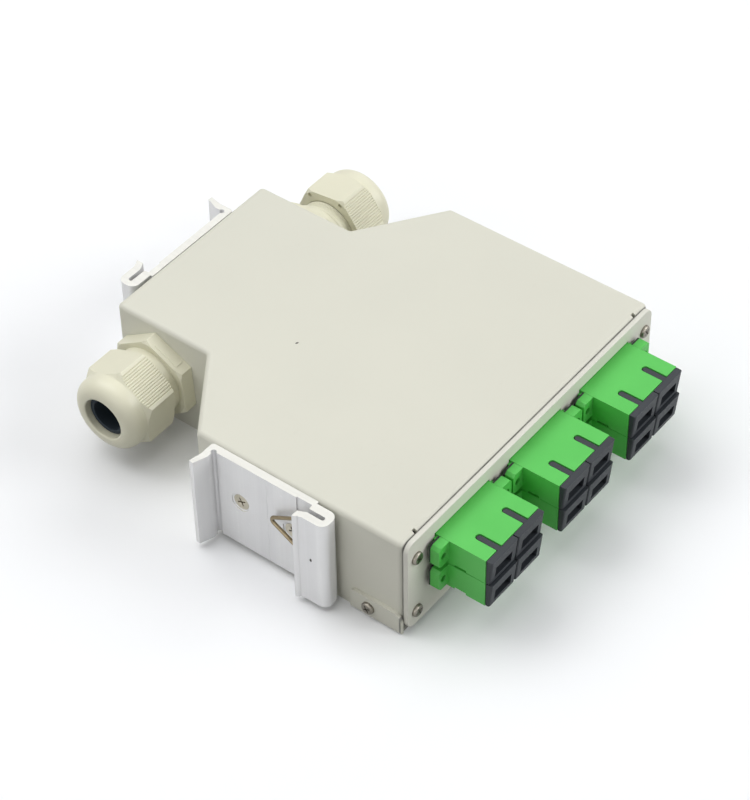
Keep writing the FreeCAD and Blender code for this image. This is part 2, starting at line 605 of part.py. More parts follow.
def make_adapter(label, column, row):
    """A duplex adapter: two ports in front, two behind, and a sleeve holder between them."""
    body = new_body(label)
    half = "adapter_height / 2"
    block = rectangle("-adapter_width / 2", "adapter_width / 2", "-" + half, half)
    pad(body, "block", "XZ_Plane", [block], "-adapter_reach", "adapter_reach + adapter_tail")
    ears = rectangle(
        "-ear_span / 2", "ear_span / 2", "-%s + ear_raise" % half, "-%s + ear_raise + ear_height" % half
    )
    pad(body, "ears", "XZ_Plane", [ears], "-ear_depth", "ear_thickness")
    dress(
        body, "Chamfer", "ear_edges",
        lambda edge: along(edge, 1) and near(abs(edge.BoundBox.XMin), size("ear_span") / 2),
        "ear_chamfer",
    )
    edge_side = "(adapter_width / 2 + shoulder)"
    shoulder = rectangle(
        "-" + edge_side, edge_side, "-%s + ear_raise + shoulder_inset" % half,
        "-%s + ear_raise + ear_height - shoulder_inset" % half,
    )
    reach = "ear_depth - ear_thickness - side_plate"
    pad(body, "shoulder", "XZ_Plane", [shoulder], "-(%s)" % reach, reach)
    middle = "(adapter_tail - adapter_reach) / 2"
    inside = ports("port_width", "-port_height / 2", "port_height / 2")
    depth = "(adapter_reach + adapter_tail - web_thickness) / 2"
    pocket(body, "front_ports", "XZ_Plane", inside, "-adapter_reach", depth)
    pocket(body, "rear_ports", "XZ_Plane", inside, "%s + web_thickness / 2" % middle, depth)
    tubes = [circle("%d * port_pitch / 2" % side, "0", "holder_radius") for name, side in PORTS]
    reach = "web_thickness + 2 * holder_reach"
    pad(body, "sleeve_holders", "XZ_Plane", tubes, "%s - (%s) / 2" % (middle, reach), reach)
    bores = [circle("%d * port_pitch / 2" % side, "0", "holder_bore") for name, side in PORTS]
    pocket(body, "holder_bores", "XZ_Plane", bores, "%s - (%s) / 2 - 1" % (middle, reach), reach + " + 2")
    slots = ports("key_width", "0", half + " + 1")
    straight = "key_length - key_width / 2"
    pocket(body, "front_key_slots", "XZ_Plane", slots, "-adapter_reach - 1", straight + " + 1")
    pocket(body, "rear_key_slots", "XZ_Plane", slots, "adapter_tail - (%s)" % straight, straight + " + 1")
    ends = [
        circle("%d * port_pitch / 2" % side, place_y, "key_width / 2")
        for name, side in PORTS
        for place_y in ("-adapter_reach + " + straight, "adapter_tail - (%s)" % straight)
    ]
    pocket(body, "key_slot_ends", "XY_Plane", ends, "0", half + " + 1")
    slit_start = "-ear_depth - side_slit_start - side_slit_length"
    slit = rectangle(slit_start, slit_start + " + side_slit_length", "-%s - 1" % half,
                     "-%s + side_slit_height" % half)
    for side, start in (("left", "-adapter_width / 2 - 1"), ("right", "adapter_width / 2 - side_slit_depth")):
        pocket(body, side + "_slit", "YZ_Plane", [slit], start, "side_slit_depth + 1")
    ear_holes = [
        circle(
            sign + "(ear_span / 2 - ear_hole_inset)", "-%s + ear_raise + ear_height / 2" % half, "ear_hole"
        )
        for sign in ("-", "")
    ]
    pocket(body, "ear_holes", "XZ_Plane", ear_holes, "-ear_depth - 1", "ear_depth + 2")
    return place(
        body,
        "%d * column_pitch" % column,
        "-panel_thickness",
        "stack_top - adapter_height / 2 - %d * row_pitch" % row,
    )


def make_cap(label, column, row, side):
    """A dust cap: sloping head with a recess, hollow plug and a key for the port's slot."""
    body = new_body(label)
    half = "cap_height / 2"
    wedge = [
        ("-cap_seat_gap - cap_depth_low", "-" + half),
        ("-cap_seat_gap", "-" + half),
        ("-cap_seat_gap", half),
        ("-cap_seat_gap - cap_depth_top", half),
    ]
    pad(body, "head", "YZ_Plane", [wedge], "-cap_width / 2", "cap_width")
    dress(
        body, "Fillet", "head_edges",
        lambda edge: near(abs(edge.BoundBox.XMin), size("cap_width") / 2)
        and near(abs(edge.BoundBox.XMax), size("cap_width") / 2)
        and edge.BoundBox.YMax < -size("cap_seat_gap") - size("cap_depth_low") / 2
        and edge.BoundBox.ZLength > size("cap_height") / 2,
        "cap_round",
    )
    width = "(port_width / 2 - cap_gap)"
    height = "(port_height / 2 - cap_gap)"
    plug = rectangle("-" + width, width, "-" + height, height)
    pad(body, "plug", "XZ_Plane", [plug], "-cap_seat_gap", "cap_seat_gap + plug_length")
    key = rectangle(
        "-key_width / 2 + cap_gap", "key_width / 2 - cap_gap", "0", "adapter_height / 2 - cap_gap"
    )
    key_reach = "key_length - key_width / 2"
    pad(body, "key", "XZ_Plane", [key], "-cap_seat_gap", "cap_seat_gap + " + key_reach)
    tip = circle("0", key_reach, "key_width / 2 - cap_gap")
    pad(body, "key_tip", "XY_Plane", [tip], "0", "adapter_height / 2 - cap_gap")
    hollow = rectangle(
        "-%s + plug_wall" % width, width + " - plug_wall", "-%s + plug_wall" % height, height + " - plug_wall"
    )
    floor = "-cap_seat_gap - cap_depth_low + recess_depth + cap_web"
    pocket(body, "hollow", "XZ_Plane", [hollow], floor, "plug_length + 3")
    recess = rectangle(
        "-recess_width / 2", "recess_width / 2", "-%s + recess_low" % half,
        "-%s + recess_low + recess_height" % half,
    )
    start = "-cap_seat_gap - cap_depth_top - 1"
    depth = "1 + cap_depth_top - cap_depth_low + recess_depth"
    pocket(body, "recess", "XZ_Plane", [recess], start, depth)
    return place(
        body,
        "%d * column_pitch + %d * port_pitch / 2" % (column, side),
        "-panel_thickness - adapter_reach",
        "stack_top - adapter_height / 2 - %d * row_pitch" % row,
    )


def make_sleeves(label, column, row):
    """The two split ceramic sleeves of one adapter, as separate solids in one node."""
    tubes = []
    length = size("sleeve_length")
    for name, side in PORTS:
        outer = Part.makeCylinder(size("sleeve_radius"), length)
        inner = Part.makeCylinder(size("sleeve_bore"), length)
        slit = Part.makeBox(size("sleeve_radius") * 2, size("sleeve_slit"), length)
        slit.translate(FreeCAD.Vector(0, -size("sleeve_slit") / 2, 0))
        tube = outer.cut([inner, slit])
        tube.rotate(FreeCAD.Vector(), FreeCAD.Vector(1, 0, 0), -90)
        tube.translate(FreeCAD.Vector(side * size("port_pitch") / 2, -length / 2, 0))
        tubes.append(tube)
    piece = keep(doc.addObject("Part::Feature", label), label)
    piece.Shape = Part.makeCompound(tubes)
    return place(
        piece,
        "%d * column_pitch" % column,
        "-panel_thickness + (adapter_tail - adapter_reach) / 2",
        "stack_top - adapter_height / 2 - %d * row_pitch" % row,
    )


def make_spring_strips():
    """The bent strips beside each adapter that hold it against the panel."""
    strip = size("spring_strip")
    length = size("spring_strip_length")
    spread = size("spring_strip_spread")
    inner = size("adapter_width") / 2
    outline = [
        (inner, 1.0),
        (inner + strip, 1.0),
        (inner + strip, length - 3 * strip),
        (inner + spread, 0.0),
        (inner + spread + strip, 0.0),
        (inner + 2 * strip, length),
        (inner, length),
    ]
    profile = Part.makePolygon([FreeCAD.Vector(x, y, 0) for x, y in outline + outline[:1]])
    one = Part.Face(profile).extrude(FreeCAD.Vector(0, 0, size("spring_strip_width")))
    strips = []
    for name, column in COLUMNS:
        for level, row in ROWS:
            middle = size("stack_top") - size("adapter_height") / 2 - row * size("row_pitch")
            for side in (0, 1):
                copy = one.copy()
                if side:
                    copy = copy.mirror(FreeCAD.Vector(), FreeCAD.Vector(1, 0, 0))
                low = middle - size("spring_strip_width") / 2
                copy.translate(FreeCAD.Vector(column * size("column_pitch"), 0, low))
                strips.append(copy)
    piece = keep(doc.addObject("Part::Feature", "adapter_spring_strips"), "adapter_spring_strips")
    piece.Shape = Part.makeCompound(strips)
    return place(piece)


def make_side_plates():
    """The thin dark plates between the adapters' ears and the shoulders on the panel."""
    outer = size("ear_span") / 2
    inner = size("adapter_width") / 2 + size("side_plate_gap")
    chamfer = size("ear_chamfer")
    height = size("ear_height")
    outline = [
        (inner, 0), (outer - chamfer, 0), (outer, chamfer),
        (outer, height - chamfer), (outer - chamfer, height), (inner, height),
    ]
    corners = [FreeCAD.Vector(x, 0, z) for x, z in outline + outline[:1]]
    plate = Part.Face(Part.makePolygon(corners)).extrude(FreeCAD.Vector(0, size("side_plate"), 0))
    hole = Part.makeCylinder(
        size("ear_hole"), 2 * size("side_plate"),
        FreeCAD.Vector(outer - size("ear_hole_inset"), -size("side_plate") / 2, height / 2),
        FreeCAD.Vector(0, 1, 0),
    )
    one = plate.cut(hole)
    front = -size("panel_thickness") - size("ear_depth") + size("ear_thickness")
    plates = []
    for name, column in COLUMNS:
        for level, row in ROWS:
            low = size("stack_top") - size("adapter_height") - row * size("row_pitch") + size("ear_raise")
            for side in (0, 1):
                copy = one.copy()
                if side:
                    copy = copy.mirror(FreeCAD.Vector(), FreeCAD.Vector(1, 0, 0))
                copy.translate(FreeCAD.Vector(column * size("column_pitch"), front, low))
                plates.append(copy)
    piece = keep(doc.addObject("Part::Feature", "adapter_side_plates"), "adapter_side_plates")
    piece.Shape = Part.makeCompound(plates)
    return place(piece)


def make_adapters():
    """All adapters with their sleeves, and a dust cap in each front port."""
    for name, column in COLUMNS:
        for level, row in ROWS:
            place_name = "%s_%s" % (name, level)
            make_adapter("adapter_" + place_name, column, row)
            make_sleeves("sleeves_" + place_name, column, row)
            for port, side in PORTS:
                make_cap("dust_cap_%s_%s" % (place_name, port), column, row, side)
    make_spring_strips()
    make_side_plates()


def pan_screw(length):
    """A small screw along +Z with its head's underside at z = 0 and its shank below."""
    head_radius = size("small_head")
    head_height = size("small_head_height")
    head = Part.makeCylinder(head_radius, head_height)
    rim = [edge for edge in head.Edges if near(edge.BoundBox.ZMin, head_height) and edge.Length > head_radius]
    head = head.makeFillet(head_height * 0.6, rim)
    shank = Part.makeCylinder(size("small_shank"), length, FreeCAD.Vector(0, 0, -length))
    return cross_recess(head.fuse(shank), head_radius * 0.6, head_height)


def cross_recess(screw, reach, top):
    """Cut a cross recess into the top of a screw head."""
    width = reach * 0.32
    depth = reach * 0.5
    for turned in (0, 90):
        bar = Part.makeBox(2 * reach, width, depth + 1)
        bar.translate(FreeCAD.Vector(-reach, -width / 2, top - depth))
        bar.rotate(FreeCAD.Vector(), Z_AXIS, turned)
        screw = screw.cut(bar)
    return screw.removeSplitter()


def gather(label, solid, placements):
    """One node that holds copies of a solid at several placements."""
    copies = []
    for placement in placements:
        copy = solid.copy()
        copy.Placement = placement.multiply(copy.Placement)
        copies.append(copy)
    piece = keep(doc.addObject("Part::Feature", label), label)
    piece.Shape = Part.makeCompound(copies)
    return place(piece)


def aimed(x, y, z, direction, spin=0.0):
    """A placement that points +Z of a piece along a direction."""
    lean = FreeCAD.Rotation(Z_AXIS, FreeCAD.Vector(*direction))
    about = FreeCAD.Rotation(Z_AXIS, spin)
    return FreeCAD.Placement(FreeCAD.Vector(x, y, z), lean.multiply(about))


def make_small_screws():
    """The panel, cover and tray screws."""
    across = size("box_width") / 2 - size("panel_screw_side")
    screw = pan_screw(size("small_screw_length"))
    spots = [
        (sign * across, size(height))
        for sign in (-1, 1)
        for height in ("panel_screw_low", "panel_screw_high")
    ]
    front = -size("panel_thickness")
    turns = [size("panel_screw_turn") + i * size("panel_screw_step") for i in range(len(spots))]
    panel = [aimed(x, front, z, (0, -1, 0), turns[i]) for i, (x, z) in enumerate(spots)]
    gather("panel_screws", screw, panel)
    side = size("box_width") / 2 + size("sheet")
    cover = [
        aimed(
            sign * side, size("tab_screw_place"), size("tab_screw_height"), (sign, 0, 0),
            size("cover_screw_turn"),
        )
        for sign in (-1, 1)
    ]
    gather("cover_screws", screw, cover)
    floor = size("sheet") + size("standoff_height") + size("tray_wall")
    turned = size("tray_screw_turn")
    tray = [aimed(x, y, floor, (0, 0, 1), turned) for x, y in tray_screw_spots()]
    gather("tray_screws", pan_screw(size("tray_screw_length")), tray)


def tray_screw_spots():
    """Where the tray is screwed down: two places in front and two behind."""
    front = size("tray_screw_front")
    rear = size("tray_screw_rear")
    wide = size("tray_screw_wide")
    narrow = size("tray_screw_narrow")
    return [(-wide, front), (wide, front), (-narrow, rear), (narrow, rear)]


def clip_screw_spots():
    """Position and outward direction of each clip screw, on the outer face of its wall."""
    height = size("clip_bottom") + size("clip_screw_height")
    spots = []
    for away in ("clip_screw_near", "clip_screw_far"):
        side_y = size("side_clip_place") + size(away)
        rear_x = -size("rear_clip_place") + size(away)
        spots.append(((-size("box_width") / 2, side_y, height), (-1, 0, 0)))
        spots.append(((rear_x, size("box_depth"), height), (0, 1, 0)))
    return spots


def make_clip_fasteners():
    """The countersunk screws of both clips and the nuts behind them."""
    head = size("clip_screw_head")
    cone = size("clip_screw_cone")
    length = size("clip_screw_length")
    plate = size("clip_plate")
    shank_radius = size("clip_screw_shank")
    top = plate - size("clip_land_drop")
    shank = Part.makeCylinder(shank_radius, length, FreeCAD.Vector(0, 0, top - length))
    taper = Part.makeCone(shank_radius, head - 0.1, cone, FreeCAD.Vector(0, 0, top - cone))
    screw = cross_recess(shank.fuse(taper), head * 0.55, top)
    screws = [aimed(*spot, direction, 25.0) for spot, direction in clip_screw_spots()]
    gather("clip_screws", screw, screws)
    thickness = size("clip_nut_thickness")
    corner = size("clip_nut_flats") / math.sqrt(3)
    corners = [
        FreeCAD.Vector(corner * math.cos(math.radians(60 * i)), corner * math.sin(math.radians(60 * i)), 0)
        for i in range(7)
    ]
    blank = Part.Face(Part.makePolygon(corners)).extrude(FreeCAD.Vector(0, 0, thickness))
    nut = blank.cut(Part.makeCylinder(size("clip_nut_bore"), thickness))
    nut.translate(FreeCAD.Vector(0, 0, -size("sheet") - thickness))
    gather("clip_nuts", nut, screws)


def gland_frame(side):
    """Rotation that points a gland's own +Z out of the left (-1) or right (1) wall."""
    return FreeCAD.Rotation(FreeCAD.Vector(0, 1, 0), 90.0 * side)


def place_gland(piece, side, spin, away="0"):
    """Put a gland piece on its wall, turned about its axis and moved out along it."""
    rotation = gland_frame(side).multiply(FreeCAD.Rotation(Z_AXIS, spin))
    outward = "%d * (neck_width / 2 + %s)" % (side, away)
    return place(piece, outward, "gland_place", "gland_height", rotation)


def trim_to_hexagon(body, name, flats, outside, start, length):
    """Cut a round stretch of a body down to a hexagon."""
    ring = [circle("0", "0", outside), hexagon(flats)]
    return pocket(body, name, "XY_Plane", ring, start, length)


def make_gland_body(label, side, spin):
    """The fixed half: wall thread, hexagon flange, collar, neck thread and claws."""
    body = new_body(label)
    corner = "body_flats / 1.7320508"
    recess = "gasket_radius + gasket_gap"
    collar_end = "body_flange + collar_height"
    neck_end = collar_end + " + neck_length"
    tip = neck_end + " + claw_length"
    outline = [
        ("gland_passage", "-gland_thread_length"),
        ("gland_thread", "-gland_thread_length"),
        ("gland_thread", "gasket_thickness"),
        (recess, "gasket_thickness"),
        (recess, "0"),
        (corner, "0"),
        (corner, "body_flange - hexagon_bevel_height"),
        (corner + " - hexagon_bevel", "body_flange"),
        ("collar_radius", "body_flange"),
        ("collar_radius", collar_end),
        ("neck_radius", collar_end),
        ("neck_radius", neck_end),
        ("claw_root_radius", neck_end),
        ("claw_tip_radius", tip),
        ("seal_seat", tip),
        ("seal_seat", "seal_floor"),
        ("gland_passage", "seal_floor"),
    ]
    turn(body, "Revolution", "turned_shape", outline)
    trim_to_hexagon(body, "flats", "body_flats", corner + " + 1", "0", "body_flange")
    slot = rectangle("-claw_slot / 2", "claw_slot / 2", "-neck_radius", "neck_radius")
    cut = pocket(body, "claw_slots", "XY_Plane", [slot], neck_end + " + 0.4", "claw_length + 1")
    pattern = body.newObject("PartDesign::PolarPattern", "claw_slot_pattern")
    pattern.Originals = [cut]
    pattern.Axis = (cut.Profile[0], ["N_Axis"])
    pattern.Angle = 135.0
    pattern.Occurrences = 4
    body.Tip = pattern
    return place_gland(body, side, spin)


def make_dome_nut(label, side, spin, away):
    """The dome nut: hexagon with ribs on every other facet, then a rounded nose with its mouth."""
    body = doc.addObject("PartDesign::Body", label + "_plain")
    corner = "nut_flats / 1.7320508"
    outline = [
        ("nut_bore", "0"),
        (corner + " - hexagon_bevel", "0"),
        (corner, "hexagon_bevel_height"),
        (corner, "nut_hexagon - nut_taper"),
        ("nut_flats / 2", "nut_hexagon"),
        ("nut_flats / 2", "nut_length"),
        ("nut_mouth", "nut_length"),
        ("nut_mouth", "nut_bore_length + nut_cone_length"),
        ("nut_cone_end", "nut_bore_length + nut_cone_length"),
        ("nut_bore", "nut_bore_length"),
    ]
    turn(body, "Revolution", "turned_shape", outline)
    nose = size("nut_length")
    rim = size("nut_flats") / 2

    def dome_edge(edge):
        """The outer rim at the front of the nut."""
        box = edge.BoundBox
        return near(box.ZMin, nose) and near(box.ZMax, nose) and near(box.XMax, rim)

    def mouth_edge(edge):
        """The rim of the mouth."""
        box = edge.BoundBox
        return near(box.ZMin, nose) and near(box.ZMax, nose) and near(box.XMax, size("nut_mouth"))

    dress(body, "Fillet", "dome", dome_edge, "dome_radius")
    dress(body, "Fillet", "mouth_round", mouth_edge, "edge_round")
    trim_to_hexagon(body, "flats", "nut_flats", corner + " + 1", "-1", "nut_hexagon + 1")
    doc.recompute()
    cutter = doc.addObject("Part::Feature", label + "_grooves")
    cutter.Shape = Part.makeCompound(rib_grooves() + rear_dimples())
    nut = keep(doc.addObject("Part::Cut", label), label)
    nut.Base = body
    nut.Tool = cutter
    return place_gland(nut, side, spin, "body_flange + collar_height + " + away)


def rib_grooves():
    """Three-sided grooves along the ribbed facets of a dome nut."""
    pitch = size("rib_pitch")
    depth = size("rib_depth")
    face = size("nut_flats") / 2
    count = int(size("rib_count"))
    grooves = []
    for facet in RIBBED_FACETS:
        for i in range(count):
            across = (i - (count - 1) / 2) * pitch
            corners = [
                FreeCAD.Vector(face - depth, across, -1),
                FreeCAD.Vector(face + depth, across - pitch * 0.6, -1),
                FreeCAD.Vector(face + depth, across + pitch * 0.6, -1),
            ]
            wire = Part.makePolygon(corners + corners[:1])
            groove = Part.Face(wire).extrude(FreeCAD.Vector(0, 0, size("nut_hexagon") + 0.6))
            groove.rotate(FreeCAD.Vector(), Z_AXIS, facet)
            grooves.append(groove)
    return grooves


def rear_dimples():
    """Small blind holes in the corners of a dome nut's rear face."""
    dimples = []
    for i in range(6):
        dimple = Part.makeCylinder(size("rear_dimple"), size("rear_dimple_depth") + 1)
        dimple.translate(FreeCAD.Vector(size("rear_dimple_place"), 0, -1))
        dimple.rotate(FreeCAD.Vector(), Z_AXIS, 60 * i)
        dimples.append(dimple)
    return dimples


def make_seal(label, side, away):
    """The rubber insert that grips the cable inside the claws."""
    body = new_body(label)
    thick_end = "seal_start + seal_length"
    outline = [
        ("seal_bore", "seal_start"),
        ("seal_radius", "seal_start"),
        ("seal_radius", thick_end),
        ("seal_nose_radius", thick_end),
        ("seal_nose_radius", thick_end + " + seal_nose"),
        ("seal_bore", thick_end + " + seal_nose"),
    ]
    turn(body, "Revolution", "turned_shape", outline)
    return place_gland(body, side, 0.0, away)


def make_locknut(label, side):
    """The hexagon nut that holds a gland from inside the wall."""
    body = new_body(label)
    corner = "locknut_flats / 1.7320508"
    low = "-sheet - locknut_thickness"
    outline = rectangle("locknut_bore", corner, low, "-sheet")
    turn(body, "Revolution", "turned_shape", outline)
    trim_to_hexagon(body, "flats", "locknut_flats", corner + " + 1", low, "locknut_thickness")
    return place_gland(body, side, 0.0)


def make_gasket(label, side):
    """The flat sealing ring in the recess of a gland, pressed against the wall."""
    body = new_body(label)
    turn(body, "Revolution", "ring", rectangle("locknut_bore", "gasket_radius", "0", "gasket_thickness"))
    return place_gland(body, side, 0.0)


def make_glands():
    """Both cable glands. The right dome nut is backed off its thread a little."""
    for name, side, body_turn, nut_turn, away in (
        ("left", -1, LEFT_BODY_TURN, LEFT_NUT_TURN, "0"),
        ("right", 1, RIGHT_BODY_TURN, RIGHT_NUT_TURN, "nut_backed_off"),
    ):
        make_gland_body(name + "_gland_body", side, body_turn)
        make_dome_nut(name + "_gland_nut", side, nut_turn, "nut_gap + " + away)
        make_seal(name + "_gland_seal", side, away)
        make_locknut(name + "_gland_locknut", side)
        make_gasket(name + "_gland_gasket", side)


def clip_outline():
    """Section of a rail clip: distance from its round end, and height above the wall."""
    foot = "clip_span - leg_flare"
    inner = foot + " - leg_thickness"
    arm_low = "channel_lift + channel_gap"
    arm_top = arm_low + " + arm_thickness"
    bend = "arm_length - arm_lean"
    outer = arm_top + " + arm_flare * (arm_lean - arm_line%s) / arm_lean"
    return [
        ("0", "clip_back_relief"),
        ("channel_mouth - 0.5", "clip_back_relief"),
        ("channel_mouth - 0.5", "0"),
        (foot, "0"),
        (foot, "leg_bend"),
        ("clip_span", "leg_height - 0.2"),
        ("clip_span - leg_thickness * 0.65", "leg_height"),
        (inner, "leg_bend"),
        (inner, "clip_plate + 2 * groove_radius"),
        (inner, "clip_plate"),
        ("seat_line + seat_line_half", "clip_plate"),
        ("seat_line", "clip_plate - seat_line_depth"),
        ("seat_line - seat_line_half", "clip_plate"),
        ("clip_land", "clip_plate"),
        ("clip_land", "clip_plate - clip_land_drop"),
        ("channel_mouth + 0.3", "clip_plate - clip_land_drop"),
        ("channel_mouth", "channel_lift"),
        ("channel_end", "channel_lift"),
        ("channel_end", arm_low),
        (bend, arm_low),
        ("arm_length", arm_low + " + arm_flare"),
        ("arm_length", arm_top + " + arm_flare"),
        ("arm_length - arm_line + arm_line_half", outer % " + arm_line_half"),
        ("arm_length - arm_line", outer % "" + " - arm_line_depth"),
        ("arm_length - arm_line - arm_line_half", outer % " - arm_line_half"),
        (bend, arm_top),
        ("0", arm_top),
    ]


def make_clip(label, x, y, rotation):
    """An extruded rail clip: plate, leaning leg, and a channel for the rail's other edge."""
    body = new_body(label)
    pad(body, "section", "XY_Plane", [clip_outline()], "clip_bottom", "clip_height")
    arm_top = size("channel_lift") + size("channel_gap") + size("arm_thickness")

    def round_end(edge):
        """The two outer corners of the channel's closed end."""
        box = edge.BoundBox
        upright = along(edge, 2) and near(box.XMin, 0)
        return upright and (near(box.YMin, size("clip_back_relief")) or near(box.YMin, arm_top))

    def heel(edge):
        """The outer corner at the leg's foot."""
        box = edge.BoundBox
        return along(edge, 2) and near(box.YMin, 0) and box.XMin > size("clip_span") / 2

    def channel_floor(edge):
        """The two inner corners of the channel's closed end."""
        return along(edge, 2) and near(edge.BoundBox.XMin, size("channel_end"))

    dress(body, "Fillet", "round_end", round_end, "clip_round")
    dress(body, "Fillet", "heel", heel, "edge_round * 2")
    dress(body, "Fillet", "channel_floor", channel_floor, "channel_gap / 2 - 0.05")
    groove = [
        circle(
            "clip_span - leg_flare - leg_thickness - groove_radius * 0.2",
            "clip_plate + groove_radius * 0.2", "groove_radius",
        )
    ]
    pocket(body, "foot_groove", "XY_Plane", groove, "clip_bottom - 1", "clip_height + 2")
    height = "clip_bottom + clip_screw_height"
    spots = ("clip_screw_near", "clip_screw_far")
    holes = [circle(away, height, "clip_screw_hole") for away in spots]
    pocket(body, "screw_holes", "XZ_Plane", holes, "-1", "clip_plate + 2")
    sinks = [countersink(body, away, height) for away in spots]
    body.Tip = sinks[-1]
    land = "clip_plate - clip_land_drop - 0.01"
    wells = [circle(away, height, "clip_screw_head + clip_screw_ring") for away in spots]
    pocket(body, "screw_wells", "XZ_Plane", wells, land, "clip_land_drop + 0.3")
    return place(body, x, y, "0", rotation)


def countersink(body, away, height):
    """A conical seat for one clip screw in the plate's outer face."""
    cone = body.newObject("PartDesign::SubtractiveCone", "countersink_" + away)
    cone.setExpression("Radius1", bound("clip_screw_shank"))
    cone.setExpression("Radius2", bound("clip_screw_head"))
    cone.setExpression("Height", bound("clip_screw_cone"))
    cone.Placement = FreeCAD.Placement(
        FreeCAD.Vector(), FreeCAD.Rotation(Z_AXIS, FreeCAD.Vector(0, 1, 0))
    )
    cone.setExpression("Placement.Base.x", bound(away))
    cone.setExpression("Placement.Base.y", bound("clip_plate - clip_land_drop - clip_screw_cone"))
    cone.setExpression("Placement.Base.z", bound(height))
    doc.recompute()
    return cone


def wire_path():
    """Middle line of a clip's wire spring: a V with two straight tails in the channel."""
    apex = size("wire_apex")
    knee = size("wire_knee")
    tail = size("wire_tail")
    spread = size("wire_half_height")
    middle = size("clip_bottom") + size("wire_height")
    out = size("channel_lift") + size("channel_gap") / 2
    corners = [
        FreeCAD.Vector(tail, out, middle + spread),
        FreeCAD.Vector(knee, out, middle + spread),
        FreeCAD.Vector(apex, out, middle),
        FreeCAD.Vector(knee, out, middle - spread),
        FreeCAD.Vector(tail, out, middle - spread),
    ]
    return rounded_path(corners, size("wire_bend"))


def rounded_path(corners, radius):
    """Straight runs joined by tangent arcs of one radius."""
    edges = []
    start = corners[0]
    for before, corner, after in zip(corners, corners[1:], corners[2:]):
        come = (corner - before).normalize()
        go = (after - corner).normalize()
        half = come.getAngle(go) / 2
        back = radius * math.tan(half)
        enter = corner - come * back
        leave = corner + go * back
        inward = (go - come).normalize()
        top = corner + inward * (radius / math.cos(half) - radius)
        edges.append(Part.LineSegment(start, enter).toShape())
        edges.append(Part.Arc(enter, top, leave).toShape())
        start = leave
    edges.append(Part.LineSegment(start, corners[-1]).toShape())
    return Part.Wire(edges)


def make_wire_spring(label, x, y, rotation):
    """The bent wire that pushes a rail against the clip's leg."""
    path = wire_path()
    first = path.Edges[0]
    point = first.Vertexes[0].Point
    ring = Part.Wire(Part.Circle(point, first.Curve.Direction, size("wire_radius")).toShape())
    piece = keep(doc.addObject("Part::Feature", label), label)
    piece.Shape = path.makePipeShell([ring], True, False)
    return place(piece, x, y, "0", rotation)


def make_rail_clips():
    """One clip on the left side wall and one on the rear wall, each with its spring."""
    # On the side wall the clip's length runs towards +Y and its height above the wall towards -X.
    side_turn = FreeCAD.Rotation(Z_AXIS, 90)
    side_spot = ("-box_width / 2", "side_clip_place")
    rear_spot = ("-rear_clip_place", "box_depth")
    make_clip("side_rail_clip", *side_spot, side_turn)
    make_wire_spring("side_clip_spring", *side_spot, side_turn)
    make_clip("rear_rail_clip", *rear_spot, FreeCAD.Rotation())
    make_wire_spring("rear_clip_spring", *rear_spot, FreeCAD.Rotation())


def tray_outline(shrink="0"):
    """Plan of the splice tray, drawn in by a formula."""
    wide = "(tray_half_width - %s)" % shrink
    narrow = "(tray_rear_half - %s * 0.6)" % shrink
    shoulder = "tray_shoulder - %s * 0.4" % shrink
    front = "tray_front + %s" % shrink
    rear = "tray_rear - %s" % shrink
    return [
        ("-" + wide, front),
        (wide, front),
        (wide, shoulder),
        (narrow, rear),
        ("-" + narrow, rear),
        ("-" + wide, shoulder),
    ]


def make_tray():
    """The moulded splice tray with half-round fibre guides and gates in its walls."""
    body = new_body("splice_tray")
    low = "sheet + standoff_height"
    floor = low + " + tray_wall"
    pad(body, "block", "XY_Plane", [tray_outline()], low, "tray_height")
    pocket(body, "inside", "XY_Plane", [tray_outline("tray_wall")], floor, "tray_height")
    for name, sign in (("left", "-"), ("right", "")):
        middle = sign + "guide_place"
        ring = [
            circle(middle, "guide_front", "guide_radius"),
            circle(middle, "guide_front", "guide_radius - guide_wall"),
        ]
        pad(body, name + "_guide", "XY_Plane", ring, low, "tray_wall + guide_height")
        inner = ["guide_place - guide_radius - 1", "guide_place"]
        if sign:
            inner = ["-guide_place", "-guide_place + guide_radius + 1"]
        half = rectangle(*inner, "guide_front - guide_radius - 1", "guide_front + guide_radius + 1")
        pocket(body, name + "_guide_half", "XY_Plane", [half], floor, "guide_height + 1")
    gates = [
        rectangle(
            "%s 26 - tray_gate / 2" % sign, "%s 26 + tray_gate / 2" % sign,
            "tray_front - 1", "tray_front + tray_wall + 1",
        )
        for sign in ("-", "")
    ]
    gates.append(rectangle("-tray_gate / 2", "tray_gate / 2", "tray_rear - tray_wall - 1", "tray_rear + 1"))
    pocket(body, "gates", "XY_Plane", gates, floor, "tray_height")
    holes = [
        circle(sign + across, along_y, "clearance_hole")
        for sign in ("-", "")
        for across, along_y in (
            ("tray_screw_wide", "tray_screw_front"), ("tray_screw_narrow", "tray_screw_rear")
        )
    ]
    pocket(body, "screw_holes", "XY_Plane", holes, low + " - 1", "tray_wall + 2")
    return place(body)


def make_comb():
    """The comb that holds the splice protectors."""
    body = new_body("splice_comb")
    low = "sheet + standoff_height + tray_wall"
    block = rectangle("-holder_length / 2", "holder_length / 2", "comb_front", "comb_front + comb_depth")
    pad(body, "block", "XY_Plane", [block], low, "comb_height")
    count = int(size("comb_count"))
    slots = [
        rectangle(
            "-holder_length / 2 - 1", "holder_length / 2 + 1",
            "comb_front + comb_depth / 2 + %s * comb_pitch - comb_slot / 2" % (i - (count - 1) / 2),
            "comb_front + comb_depth / 2 + %s * comb_pitch + comb_slot / 2" % (i - (count - 1) / 2),
        )
        for i in range(count)
    ]
    pocket(body, "slots", "XY_Plane", slots, low + " + comb_floor", "comb_height")
    return place(body)


